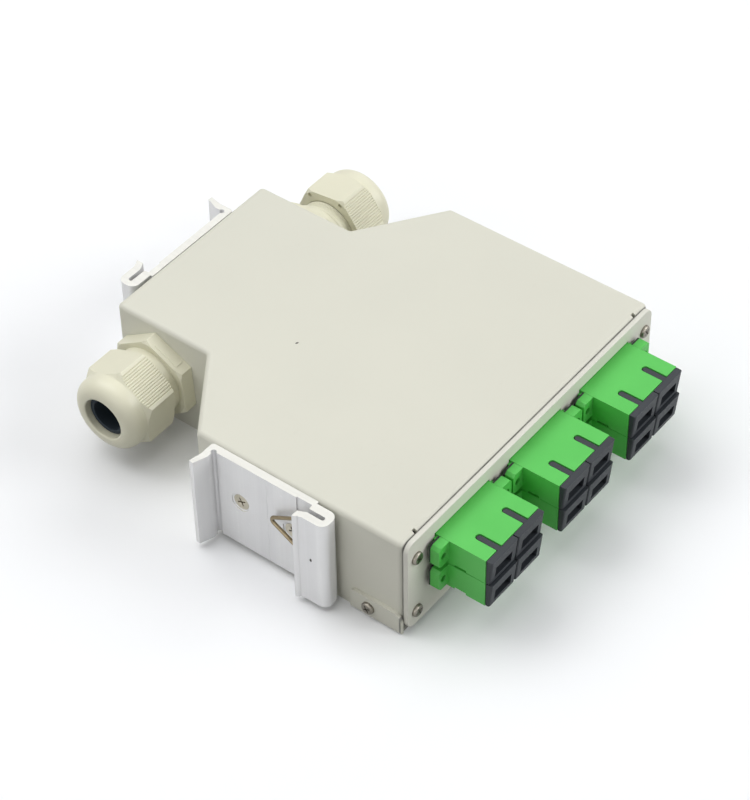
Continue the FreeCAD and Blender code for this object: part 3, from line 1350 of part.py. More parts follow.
def make_lid():
    """The clear lid that lies on the tray, with tongues down two of its sides."""
    body = new_body("tray_lid")
    low = "sheet + standoff_height + tray_height"
    pad(body, "plate", "XY_Plane", [tray_outline()], low, "lid_thickness")
    edge = "tray_half_width + lid_fit + lid_thickness"
    for name, left, right in (
        ("left", "-(%s)" % edge, "-tray_half_width + 1"), ("right", "tray_half_width - 1", edge),
    ):
        ledge = rectangle(left, right, "guide_front - lid_tongue / 2", "guide_front + lid_tongue / 2")
        pad(body, name + "_ledge", "XY_Plane", [ledge], low, "lid_thickness")
    for name, left, right in (
        ("left", "-(%s)" % edge, "-(tray_half_width + lid_fit)"),
        ("right", "tray_half_width + lid_fit", edge),
    ):
        tongue = rectangle(left, right, "guide_front - lid_tongue / 2", "guide_front + lid_tongue / 2")
        pad(body, name + "_tongue", "XY_Plane", [tongue], low + " - lid_tongue_drop", "lid_tongue_drop")
    return place(body)


def make_standoffs():
    """The stand-offs on the bottom cover that carry the tray."""
    height = size("standoff_height")
    post = Part.makeCylinder(size("standoff_radius"), height)
    post = post.cut(Part.makeCylinder(size("tapped_hole"), height))
    spots = [aimed(x, y, size("sheet"), (0, 0, 1)) for x, y in tray_screw_spots()]
    gather("tray_standoffs", post, spots)


def check_document():
    """Stop if any object failed, any cut took nothing away or any shape is bad."""
    for item in doc.Objects:
        if "Invalid" in item.State or "Error" in item.State:
            raise RuntimeError("%s: %s" % (item.Label, item.State))
        if item.TypeId in ("PartDesign::Pocket", "PartDesign::SubtractiveCone"):
            before = item.BaseFeature.Shape.Volume
            if item.Shape.Volume >= before - 1e-6:
                raise RuntimeError("%s of %s cuts nothing" % (item.Label, item.getParentGeoFeatureGroup().Label))
    for piece in nodes:
        if piece.Shape.isNull() or not piece.Shape.isValid() or not piece.Shape.Solids:
            raise RuntimeError("bad shape: " + piece.Label)


def main():
    """Build every piece, check the document and write one file for each node."""
    make_housing()
    make_cover()
    make_panel()
    make_adapters()
    make_glands()
    make_rail_clips()
    make_clip_fasteners()
    make_small_screws()
    make_standoffs()
    make_tray()
    make_comb()
    make_lid()
    doc.recompute()
    check_document()
    os.makedirs("parts", exist_ok=True)
    for piece in nodes:
        piece.Shape.exportStep("parts/%s.step" % piece.Label)
    print("wrote %d nodes" % len(nodes))


main()
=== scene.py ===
"""Dressed model of a fibre splice box: folded housing, adapters, cable glands and rail clips."""

import json
import logging
import math
from dataclasses import dataclass
from enum import Enum

import bmesh
import bpy
from mathutils import Matrix, Vector

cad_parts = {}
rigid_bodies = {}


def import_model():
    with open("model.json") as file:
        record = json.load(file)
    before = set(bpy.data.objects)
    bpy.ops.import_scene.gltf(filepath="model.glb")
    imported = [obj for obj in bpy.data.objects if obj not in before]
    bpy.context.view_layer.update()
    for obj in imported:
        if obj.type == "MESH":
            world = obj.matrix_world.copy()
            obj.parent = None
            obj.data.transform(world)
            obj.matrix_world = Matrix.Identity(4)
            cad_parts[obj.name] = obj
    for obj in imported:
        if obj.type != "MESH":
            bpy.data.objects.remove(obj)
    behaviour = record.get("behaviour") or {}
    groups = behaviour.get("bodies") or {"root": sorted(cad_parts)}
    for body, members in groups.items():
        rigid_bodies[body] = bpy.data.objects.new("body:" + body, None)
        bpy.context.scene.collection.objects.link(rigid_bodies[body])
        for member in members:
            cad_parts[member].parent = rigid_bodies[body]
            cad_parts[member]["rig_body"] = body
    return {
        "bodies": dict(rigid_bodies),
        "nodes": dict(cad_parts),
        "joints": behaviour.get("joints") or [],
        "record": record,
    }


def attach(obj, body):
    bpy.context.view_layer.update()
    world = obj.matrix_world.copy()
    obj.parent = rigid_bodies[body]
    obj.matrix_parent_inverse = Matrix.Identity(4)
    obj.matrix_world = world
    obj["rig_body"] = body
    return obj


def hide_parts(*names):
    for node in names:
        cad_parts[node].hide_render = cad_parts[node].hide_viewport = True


LOG = logging.getLogger("splice_box")

Triple = tuple[float, float, float]

# Driving dimensions of the housing
MM = 0.001
BOX_WIDTH = 123.0 * MM
BOX_DEPTH = 128.2 * MM
BOX_HEIGHT = 36.5 * MM
FRONT = -BOX_DEPTH / 2
REAR = BOX_DEPTH / 2

# How meshes are read and shaded
BOX_BODY = "box"
WELD_DISTANCE = 0.002 * MM
SHARP_EDGE = math.radians(32.0)
SOFTENED_EDGE = math.radians(40.0)
LEVEL_FACE = 0.85

# Shared measures of the finishes
# colour of the painted shade in the seam between the housing and its front panel
SEAM_SHADE_COLOUR = (0.13, 0.13, 0.12)
SCUFF_STRETCH = (260.0, 420.0, 900.0)

# Sockets of a colour mix node
MIX_FACTOR = 0
MIX_FIRST = 6
MIX_SECOND = 7
MIX_RESULT = 2

PHOTO_LONG_SIDE = 800.0


class Grain(Enum):
    """How a finish looks from close by."""

    POWDER = "powder coat"
    MOULDED = "moulded plastic"
    DRAWN = "drawn or extruded metal"
    SAWN = "sawn metal end"
    SMOOTH = "smooth skin"


class Side(Enum):
    """The two narrow side walls, with the sign of X that points out of each."""

    LEFT = -1
    RIGHT = 1

    @property
    def word(self) -> str:
        """The word that stands in the names of this side's nodes."""
        return self.name.lower()


# Shader node groups, built once and shared by the finishes


class NodeBoard:
    """Short calls for adding and linking nodes in one tree."""

    def __init__(self, tree: bpy.types.NodeTree) -> None:
        """Start on a tree.

        Args:
            tree: the material's or group's node tree.
        """
        self.tree = tree

    def add(self, kind: str, **settings: object) -> bpy.types.Node:
        """Add one node.

        Args:
            kind: the node's type name.
            settings: attributes to set on it.

        Returns:
            The new node.
        """
        node = self.tree.nodes.new(kind)
        for key, value in settings.items():
            setattr(node, key, value)
        return node

    def link(self, source: bpy.types.NodeSocket, target: bpy.types.NodeSocket) -> None:
        """Join the source, an output, to the target, an input."""
        self.tree.links.new(source, target)

    def maths(self, operation: str, first: object, second: object = None) -> bpy.types.NodeSocket:
        """Add a maths node.

        Args:
            operation: the node's operation.
            first: a socket or a number.
            second: a socket or a number.

        Returns:
            The result's socket.
        """
        node = self.add("ShaderNodeMath", operation=operation)
        for index, value in enumerate((first, second)):
            if isinstance(value, bpy.types.NodeSocket):
                self.link(value, node.inputs[index])
            elif value is not None:
                node.inputs[index].default_value = value
        return node.outputs[0]

    def noise(self, vector: bpy.types.NodeSocket, scale: object, detail: float) -> bpy.types.NodeSocket:
        """Add a noise texture.

        Args:
            vector: the place to read.
            scale: a socket or a number, in features to the metre.
            detail: how many finer layers it has.

        Returns:
            The grey value, from 0 to 1.
        """
        node = self.add("ShaderNodeTexNoise")
        node.inputs["Detail"].default_value = detail
        self.link(vector, node.inputs["Vector"])
        if isinstance(scale, bpy.types.NodeSocket):
            self.link(scale, node.inputs["Scale"])
        else:
            node.inputs["Scale"].default_value = scale
        return node.outputs["Fac"]

    def ramp(
        self, value: bpy.types.NodeSocket, low: float, high: float, start: float = 0.0, end: float = 1.0
    ) -> bpy.types.NodeSocket:
        """Stretch a grey value between two limits.

        Args:
            value: the value to stretch.
            low: the value that becomes start.
            high: the value that becomes end.
            start: result at and below low.
            end: result at and above high.

        Returns:
            The stretched value.
        """
        node = self.add("ShaderNodeMapRange")
        for name, number in (("From Min", low), ("From Max", high), ("To Min", start), ("To Max", end)):
            node.inputs[name].default_value = number
        self.link(value, node.inputs["Value"])
        return node.outputs["Result"]


class GroupShelf:
    """The shared node groups. The scales are in features to the metre, or shares of another scale."""

    FINER_SCALE = 3.1
    FINE_SHARE = 0.7
    STREAK_SCALE = 0.16
    PATCH_SCALE = 38.0
    BLOTCH_SCALE = 170.0

    def __init__(self) -> None:
        """Build every group."""
        self.skin = self._surface_skin()
        self.lines = self._drawn_lines()
        self.scuffs = self._scuffs()
        self.seams = self._seam_painted_shade()

    @staticmethod
    def _new(
        name: str, inputs: dict[str, str], outputs: dict[str, str]
    ) -> tuple[bpy.types.NodeTree, NodeBoard, bpy.types.Node, bpy.types.Node]:
        """Start a group with named sockets.

        Args:
            name: the group's name.
            inputs: input names and their kinds, Float or Vector.
            outputs: output names and their kinds.

        Returns:
            The tree, its board, its input node and its output node.
        """
        tree = bpy.data.node_groups.new(name, "ShaderNodeTree")
        for direction, sockets in (("INPUT", inputs), ("OUTPUT", outputs)):
            for label, kind in sockets.items():
                tree.interface.new_socket(name=label, in_out=direction, socket_type="NodeSocket" + kind)
        board = NodeBoard(tree)
        return tree, board, board.add("NodeGroupInput"), board.add("NodeGroupOutput")

    def _surface_skin(self) -> bpy.types.NodeTree:
        """Fine dimples of a coat or a mould, and a broad change of tone.

        Returns:
            The group's tree.
        """
        tree, board, start, end = self._new(
            "surface_skin",
            {"Vector": "Vector", "Fine": "Float", "Broad": "Float"},
            {"Height": "Float", "Tone": "Float", "Grit": "Float"},
        )
        place = start.outputs["Vector"]
        fine = board.noise(place, start.outputs["Fine"], detail=3.0)
        finer_scale = board.maths("MULTIPLY", start.outputs["Fine"], self.FINER_SCALE)
        finer = board.noise(place, finer_scale, detail=2.0)
        fine_part = board.maths("MULTIPLY", fine, self.FINE_SHARE)
        finer_part = board.maths("MULTIPLY", finer, 1.0 - self.FINE_SHARE)
        broad = board.noise(place, start.outputs["Broad"], detail=4.0)
        board.link(board.maths("ADD", fine_part, finer_part), end.inputs["Height"])
        board.link(board.ramp(broad, low=0.3, high=0.7), end.inputs["Tone"])
        board.link(board.ramp(finer, low=0.62, high=0.72), end.inputs["Grit"])
        return tree

    def _drawn_lines(self) -> bpy.types.NodeTree:
        """Long thin lines along the way that a metal was drawn.

        Returns:
            The group's tree.
        """
        tree, board, start, end = self._new(
            "drawn_lines",
            {"Vector": "Vector", "Stretch": "Vector"},
            {"Lines": "Float", "Streaks": "Float"},
        )
        scaled = self._stretched(board, start)
        streaks = board.noise(scaled, self.STREAK_SCALE, detail=2.0)
        board.link(board.noise(scaled, 1.0, detail=3.0), end.inputs["Lines"])
        board.link(board.ramp(streaks, low=0.35, high=0.68), end.inputs["Streaks"])
        return tree

    def _scuffs(self) -> bpy.types.NodeTree:
        """Sparse short marks from handling.

        Returns:
            The group's tree.
        """
        tree, board, start, end = self._new(
            "handling_scuffs", {"Vector": "Vector", "Stretch": "Vector"}, {"Mask": "Float"}
        )
        scratches = board.noise(self._stretched(board, start), 1.0, detail=2.0)
        patches = board.noise(start.outputs["Vector"], self.PATCH_SCALE, detail=2.0)
        marks = board.ramp(scratches, low=0.66, high=0.74)
        where = board.ramp(patches, low=0.48, high=0.62)
        board.link(board.maths("MULTIPLY", marks, where), end.inputs["Mask"])
        return tree

    def _seam_painted_shade(self) -> bpy.types.NodeTree:
        """Painted shade: the dark line of shadow in the seam between the housing and its front panel.

        Returns:
            The group's tree.
        """
        tree, board, start, end = self._new(
            "seam_dust", {"Vector": "Vector", "Plane": "Float", "Width": "Float"}, {"Mask": "Float"}
        )
        parts = board.add("ShaderNodeSeparateXYZ")
        board.link(start.outputs["Vector"], parts.inputs[0])
        away = board.maths("ABSOLUTE", board.maths("SUBTRACT", parts.outputs["Y"], start.outputs["Plane"]))
        share = board.maths("DIVIDE", away, start.outputs["Width"])
        near = board.ramp(share, low=0.35, high=1.0, start=1.0, end=0.0)
        blotches = board.noise(start.outputs["Vector"], self.BLOTCH_SCALE, detail=2.0)
        uneven = board.ramp(blotches, low=0.3, high=0.7, start=0.7, end=1.0)
        board.link(board.maths("MULTIPLY", near, uneven), end.inputs["Mask"])
        return tree

    @staticmethod
    def _stretched(board: NodeBoard, start: bpy.types.Node) -> bpy.types.NodeSocket:
        """Scale the place that a group reads by its stretch.

        Args:
            board: the group's board.
            start: the group's input node.

        Returns:
            The scaled place.
        """
        scaled = board.add("ShaderNodeVectorMath", operation="MULTIPLY")
        board.link(start.outputs["Vector"], scaled.inputs[0])
        board.link(start.outputs["Stretch"], scaled.inputs[1])
        return scaled.outputs[0]


# Finishes


@dataclass(frozen=True)
class Finish:
    """One procedural surface finish.

    Scales are in features to the metre, relief and seam_width in millimetres.
    """

    name: str
    light: Triple
    dark: Triple
    grain: Grain
    smoothest: float
    roughest: float
    metallic: float = 0.0
    specular: float = 0.5
    fine: float = 1500.0
    broad: float = 25.0
    relief: float = 0.01
    stretch: Triple = (3000.0, 3000.0, 60.0)
    scuff: float = 0.0
    scuff_colour: Triple = (0.5, 0.5, 0.5)
    seam_width: float = 0.0
    alpha: float = 1.0
    coat: float = 0.0

    def build(self, shelf: GroupShelf) -> bpy.types.Material:
        """Make the material.

        Args:
            shelf: the shared node groups.

        Returns:
            The finished material.
        """
        material = bpy.data.materials.new(self.name)
        material.use_nodes = True
        tree = material.node_tree
        tree.nodes.clear()
        board = NodeBoard(tree)
        output = board.add("ShaderNodeOutputMaterial")
        shader = board.add("ShaderNodeBsdfPrincipled")
        board.link(shader.outputs["BSDF"], output.inputs["Surface"])
        place = board.add("ShaderNodeTexCoord").outputs["Object"]
        tone, height = self._texture(board, shelf, place)
        colour = self._mix(board, tone, self.light, self.dark)
        if self.scuff > 0.0:
            colour = self._scuffed(board, shelf, place, colour)
        # painted shade: a dark line along the seam between the housing and its front panel
        if self.seam_width > 0.0:
            colour = self._painted_seam_shade(board, shelf, place, colour)
        roughness = board.ramp(height, low=0.3, high=0.7, start=self.smoothest, end=self.roughest)
        board.link(colour, shader.inputs["Base Color"])
        board.link(roughness, shader.inputs["Roughness"])
        bump = board.add("ShaderNodeBump")
        bump.inputs["Strength"].default_value = 1.0
        bump.inputs["Distance"].default_value = self.relief * MM
        board.link(height, bump.inputs["Height"])
        board.link(bump.outputs["Normal"], shader.inputs["Normal"])
        shader.inputs["Metallic"].default_value = self.metallic
        shader.inputs["Specular IOR Level"].default_value = self.specular
        shader.inputs["Alpha"].default_value = self.alpha
        shader.inputs["Coat Weight"].default_value = self.coat
        return material

    def _texture(
        self, board: NodeBoard, shelf: GroupShelf, place: bpy.types.NodeSocket
    ) -> tuple[bpy.types.NodeSocket, bpy.types.NodeSocket]:
        """Lay out the finish's grain.

        Args:
            board: the material's board.
            shelf: the shared node groups.
            place: the place to read.

        Returns:
            The tone, from light to dark, and the height of the surface.
        """
        skin = board.add("ShaderNodeGroup", node_tree=shelf.skin)
        board.link(place, skin.inputs["Vector"])
        skin.inputs["Fine"].default_value = self.fine
        skin.inputs["Broad"].default_value = self.broad
        tone = skin.outputs["Tone"]
        height = skin.outputs["Height"]
        if self.grain in (Grain.DRAWN, Grain.SAWN):
            lines = board.add("ShaderNodeGroup", node_tree=shelf.lines)
            board.link(place, lines.inputs["Vector"])
            lines.inputs["Stretch"].default_value = self.stretch
            clouds = board.ramp(tone, low=0.0, high=1.0, start=0.6, end=1.0)
            tone = board.maths("MULTIPLY", lines.outputs["Streaks"], clouds)
            height = board.maths("ADD", board.maths("MULTIPLY", height, 0.4), lines.outputs["Lines"])
        elif self.grain is Grain.POWDER:
            tone = board.maths("MAXIMUM", board.maths("MULTIPLY", skin.outputs["Grit"], 0.7), tone)
        return tone, height

    @staticmethod
    def _mix(
        board: NodeBoard,
        factor: bpy.types.NodeSocket,
        first: object,
        second: Triple,
    ) -> bpy.types.NodeSocket:
        """Blend two colours by a grey value.

        Args:
            board: the material's board.
            factor: 0 gives the first colour, 1 the second.
            first: a colour or a colour socket.
            second: a colour.

        Returns:
            The blended colour.
        """
        mix = board.add("ShaderNodeMix", data_type="RGBA")
        board.link(factor, mix.inputs[MIX_FACTOR])
        if isinstance(first, bpy.types.NodeSocket):
            board.link(first, mix.inputs[MIX_FIRST])
        else:
            mix.inputs[MIX_FIRST].default_value = (*first, 1.0)
        mix.inputs[MIX_SECOND].default_value = (*second, 1.0)
        return mix.outputs[MIX_RESULT]

    def _scuffed(
        self,
        board: NodeBoard,
        shelf: GroupShelf,
        place: bpy.types.NodeSocket,
        colour: bpy.types.NodeSocket,
    ) -> bpy.types.NodeSocket:
        """Lay handling marks over a colour.

        Args:
            board: the material's board.
            shelf: the shared node groups.
            place: the place to read.
            colour: the colour under the marks.

        Returns:
            The colour with its marks.
        """
        marks = board.add("ShaderNodeGroup", node_tree=shelf.scuffs)
        board.link(place, marks.inputs["Vector"])
        marks.inputs["Stretch"].default_value = SCUFF_STRETCH
        strength = board.maths("MULTIPLY", marks.outputs["Mask"], self.scuff)
        return self._mix(board, strength, colour, self.scuff_colour)

    def _painted_seam_shade(
        self,
        board: NodeBoard,
        shelf: GroupShelf,
        place: bpy.types.NodeSocket,
        colour: bpy.types.NodeSocket,
    ) -> bpy.types.NodeSocket:
        """Lay the painted shade of the front seam, a dark line, over a colour.

        Args:
            board: the material's board.
            shelf: the shared node groups.
            place: the place to read.
            colour: the colour beside the line.

        Returns:
            The colour with the line.
        """
        # this node gives the mask of the painted seam shade
        dust = board.add("ShaderNodeGroup", node_tree=shelf.seams)
        board.link(place, dust.inputs["Vector"])
        dust.inputs["Plane"].default_value = FRONT
        dust.inputs["Width"].default_value = self.seam_width * MM
        return self._mix(board, dust.outputs["Mask"], colour, SEAM_SHADE_COLOUR)


FINISHES = (
    Finish(
        "housing_coat", (0.640, 0.634, 0.548), (0.614, 0.610, 0.528), Grain.POWDER, 0.42, 0.56,
        fine=1100.0, broad=18.0, relief=0.010, scuff=0.10, scuff_colour=(0.52, 0.51, 0.44), seam_width=0.45,
    ),
    Finish(
        "panel_coat", (0.665, 0.655, 0.585), (0.635, 0.628, 0.560), Grain.POWDER, 0.42, 0.56,
        fine=1100.0, broad=20.0, relief=0.010, scuff=0.12, scuff_colour=(0.48, 0.48, 0.42), seam_width=0.45,
    ),
    Finish(
        "adapter_green", (0.084, 0.510, 0.080), (0.070, 0.470, 0.067), Grain.MOULDED, 0.34, 0.48,
        fine=2200.0, broad=60.0, relief=0.004, scuff=0.10, scuff_colour=(0.20, 0.62, 0.20),
    ),
    Finish(
        "cap_black", (0.027, 0.032, 0.038), (0.020, 0.024, 0.029), Grain.MOULDED, 0.42, 0.58,
        specular=0.32, fine=2600.0, broad=90.0, relief=0.006, scuff=0.25, scuff_colour=(0.05, 0.05, 0.056),
    ),
    Finish(
        "gland_ivory", (0.735, 0.718, 0.562), (0.700, 0.683, 0.535), Grain.MOULDED, 0.32, 0.44,
        fine=1700.0, broad=45.0, relief=0.005, scuff=0.08, scuff_colour=(0.60, 0.58, 0.48),
    ),
    Finish(
        "seal_rubber", (0.026, 0.036, 0.046), (0.019, 0.027, 0.035), Grain.SMOOTH, 0.50, 0.66,
        specular=0.2, fine=2000.0, broad=80.0, relief=0.008,
    ),
    Finish(
        "gasket_rubber", (0.018, 0.018, 0.020), (0.012, 0.012, 0.014), Grain.SMOOTH, 0.55, 0.70,
        fine=2000.0, broad=80.0, relief=0.010,
    ),
    Finish(
        "extruded_face", (0.70, 0.70, 0.70), (0.65, 0.65, 0.655), Grain.DRAWN, 0.46, 0.60,
        metallic=0.85, fine=1500.0, broad=70.0, relief=0.004, stretch=(1500.0, 1500.0, 25.0),
        scuff=0.35, scuff_colour=(0.80, 0.80, 0.80),
    ),
    Finish(
        "sawn_end", (0.74, 0.735, 0.690), (0.68, 0.675, 0.635), Grain.SAWN, 0.50, 0.64,
        metallic=0.15, fine=2500.0, broad=90.0, relief=0.006, stretch=(5000.0, 300.0, 5000.0),
    ),
    Finish(
        "drawn_wire", (0.28, 0.23, 0.145), (0.18, 0.145, 0.09), Grain.DRAWN, 0.20, 0.32,
        metallic=1.0, fine=4000.0, broad=120.0, relief=0.003, stretch=(4000.0, 400.0, 4000.0),
    ),
    Finish(
        "nickel_screw", (0.31, 0.29, 0.25), (0.20, 0.185, 0.155), Grain.SMOOTH, 0.24, 0.40,
        metallic=1.0, fine=3200.0, broad=300.0, relief=0.004,
    ),
    Finish(
        "zinc_screw", (0.58, 0.54, 0.44), (0.42, 0.39, 0.31), Grain.SMOOTH, 0.26, 0.42,
        metallic=1.0, fine=3200.0, broad=300.0, relief=0.004,
    ),
    Finish(
        "rolled_strip", (0.58, 0.58, 0.58), (0.50, 0.50, 0.51), Grain.DRAWN, 0.28, 0.42,
        metallic=1.0, fine=3000.0, broad=90.0, relief=0.003, stretch=(300.0, 300.0, 5000.0),
    ),
    Finish(
        "blackened_strip", (0.030, 0.032, 0.032), (0.018, 0.020, 0.020), Grain.SMOOTH, 0.42, 0.58,
        specular=0.35, fine=2600.0, broad=120.0, relief=0.003,
    ),
    Finish(
        "white_ceramic", (0.82, 0.81, 0.77), (0.78, 0.77, 0.73), Grain.SMOOTH, 0.10, 0.18,
        fine=3000.0, broad=120.0, relief=0.001, coat=0.4,
    ),
    Finish(
        "tray_plastic", (0.60, 0.61, 0.62), (0.56, 0.57, 0.585), Grain.MOULDED, 0.38, 0.50,
        fine=1800.0, broad=40.0, relief=0.005,
    ),
    Finish(
        "clear_lid", (0.80, 0.84, 0.86), (0.77, 0.82, 0.84), Grain.SMOOTH, 0.08, 0.16,
        fine=900.0, broad=30.0, relief=0.003, alpha=0.35,
    ),
    # dark dirt for the speck on the top, and painted shade for the dimples of the staking marks
    Finish(
        "old_dirt", (0.055, 0.050, 0.042), (0.030, 0.027, 0.022), Grain.SMOOTH, 0.60, 0.80,
        fine=6000.0, broad=900.0, relief=0.02,
    ),
)


class Workshop:
    """Holds the frame and the finishes, and turns meshes into dressed pieces."""

    def __init__(self, frame: dict) -> None:
        """Build the finishes.
        """
        shelf = GroupShelf()
        self.nodes = frame["nodes"]
        self.materials = {finish.name: finish.build(shelf) for finish in FINISHES}
        self.slots = {part["node"]: part["material_slot"] for part in frame["record"]["subparts"]}
        self.count = 0

    def piece(
        self, name: str, bm: bmesh.types.BMesh, finishes: list[str], body: str
    ) -> bpy.types.Object:
        """Turn a bmesh into a piece of the object.

        Args:
            name: the piece's name.
            bm: its shape, which is freed here.
            finishes: the finishes of its material slots.
            body: the body that it rides on.

        Returns:
            The new object.
        """
        for face in bm.faces:
            face.smooth = True
        for edge in bm.edges:
            edge.smooth = len(edge.link_faces) == 2 and edge.calc_face_angle(0.0) < SHARP_EDGE
        mesh = bpy.data.meshes.new(name)
        bm.to_mesh(mesh)
        bm.free()
        for finish in finishes:
            mesh.materials.append(self.materials[finish])
        thing = bpy.data.objects.new(name, mesh)
        bpy.context.scene.collection.objects.link(thing)
        flat = thing.modifiers.new("flat faces", "WEIGHTED_NORMAL")
        flat.keep_sharp = True
        flat.weight = 100
        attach(thing, body)
        self.count += 1
        LOG.info("%s rides on %s with %d faces", name, body, len(mesh.polygons))
        return thing

    def solid(self, node: str) -> bmesh.types.BMesh:
        """Copy a node's mesh with its loose triangles joined.

        Args:
            node: the node to copy.

        Returns:
            The copy.
        """
        bm = bmesh.new()
        bm.from_mesh(self.nodes[node].data)
        bmesh.ops.remove_doubles(bm, verts=bm.verts, dist=WELD_DISTANCE)
        return bm

    def soften(self, bm: bmesh.types.BMesh, width: float, steps: int = 2) -> None:
        """Round the sharp edges of a shape.

        Args:
            bm: the shape.
            width: how far the rounding reaches from each edge, in metres.
            steps: segments across the rounding.
        """
        edges = [
            edge for edge in bm.edges
            if len(edge.link_faces) == 2 and abs(edge.calc_face_angle(0.0)) > SOFTENED_EDGE
        ]
        bmesh.ops.bevel(
            bm, geom=edges, offset=width, offset_type="OFFSET", segments=steps, profile=0.5,
            affect="EDGES", clamp_overlap=True, material=-1,
        )

    def dress(self, node: str, finishes: list[str], width: float = 0.0, steps: int = 2) -> bpy.types.Object:
        """Stand a softened copy in for a node.

        Args:
            node: the node that the copy replaces.
            finishes: its finishes. A second one goes on the faces that look up or down.
            width: how far the edges are rounded, in metres, or 0 to leave them.
            steps: segments across the rounding.

        Returns:
            The new piece.
        """
        bm = self.solid(node)
        if width > 0.0:
            self.soften(bm, width, steps)
        if len(finishes) > 1:
            bm.normal_update()
            for face in bm.faces:
                face.material_index = int(abs(face.normal.z) > LEVEL_FACE)
        body = self.nodes[node]["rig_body"]
        thing = self.piece(node + "_dressed", bm, finishes, body)
        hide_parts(node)
        return thing


# Sub-assemblies


@dataclass
class SheetHousing:
    """The folded shell with its cover and front panel."""

    sheet_edge: float = 0.12 * MM
    panel_edge: float = 0.25 * MM
    speck_place: Triple = (-15.4 * MM, 9.7 * MM, BOX_HEIGHT)
    speck_reach: Triple = (0.55 * MM, 0.28 * MM, 0.05 * MM)
    speck_turn: float = -25.0

    def build(self, shop: Workshop) -> None:
        """Dress the sheet parts and add the speck on the top.

        Args:
            shop: turns the shapes into pieces.
        """
        shop.dress("housing_shell", ["housing_coat"], self.sheet_edge, 1)
        shop.dress("bottom_cover", ["housing_coat"], self.sheet_edge, 1)
        shop.dress("front_panel", ["panel_coat"], self.panel_edge)
        self.speck(shop)

    def speck(self, shop: Workshop) -> None:
        """Make the small dark speck in the coat of the top.

        Args:
            shop: turns the shapes into pieces.
        """
        bm = bmesh.new()
        bmesh.ops.create_uvsphere(bm, u_segments=16, v_segments=8, radius=1.0)
        bmesh.ops.scale(bm, vec=self.speck_reach, verts=bm.verts)
        turn = Matrix.Rotation(math.radians(self.speck_turn), 3, "Z")
        bmesh.ops.rotate(bm, matrix=turn, verts=bm.verts)
        bmesh.ops.translate(bm, vec=self.speck_place, verts=bm.verts)
        shop.piece("top_speck", bm, ["old_dirt"], BOX_BODY)


@dataclass
class AdapterBank:
    """The adapters with their dust caps, sleeves and spring strips."""

    columns: tuple[str, ...] = ("left", "middle", "right")
    rows: tuple[str, ...] = ("upper", "lower")
    ports: tuple[str, ...] = ("a", "b")
    adapter_edge: float = 0.18 * MM
    cap_edge: float = 0.16 * MM

    def build(self, shop: Workshop) -> None:
        """Dress every adapter and what sits in it.

        Args:
            shop: turns the shapes into pieces.
        """
        for column in self.columns:
            for row in self.rows:
                place = f"{column}_{row}"
                shop.dress("adapter_" + place, ["adapter_green"], self.adapter_edge)
                shop.dress("sleeves_" + place, ["white_ceramic"])
                for port in self.ports:
                    shop.dress(f"dust_cap_{place}_{port}", ["cap_black"], self.cap_edge)
        shop.dress("adapter_spring_strips", ["rolled_strip"])
        # the side plates are near-black and draw the dark outline round each ear
        shop.dress("adapter_side_plates", ["blackened_strip"])


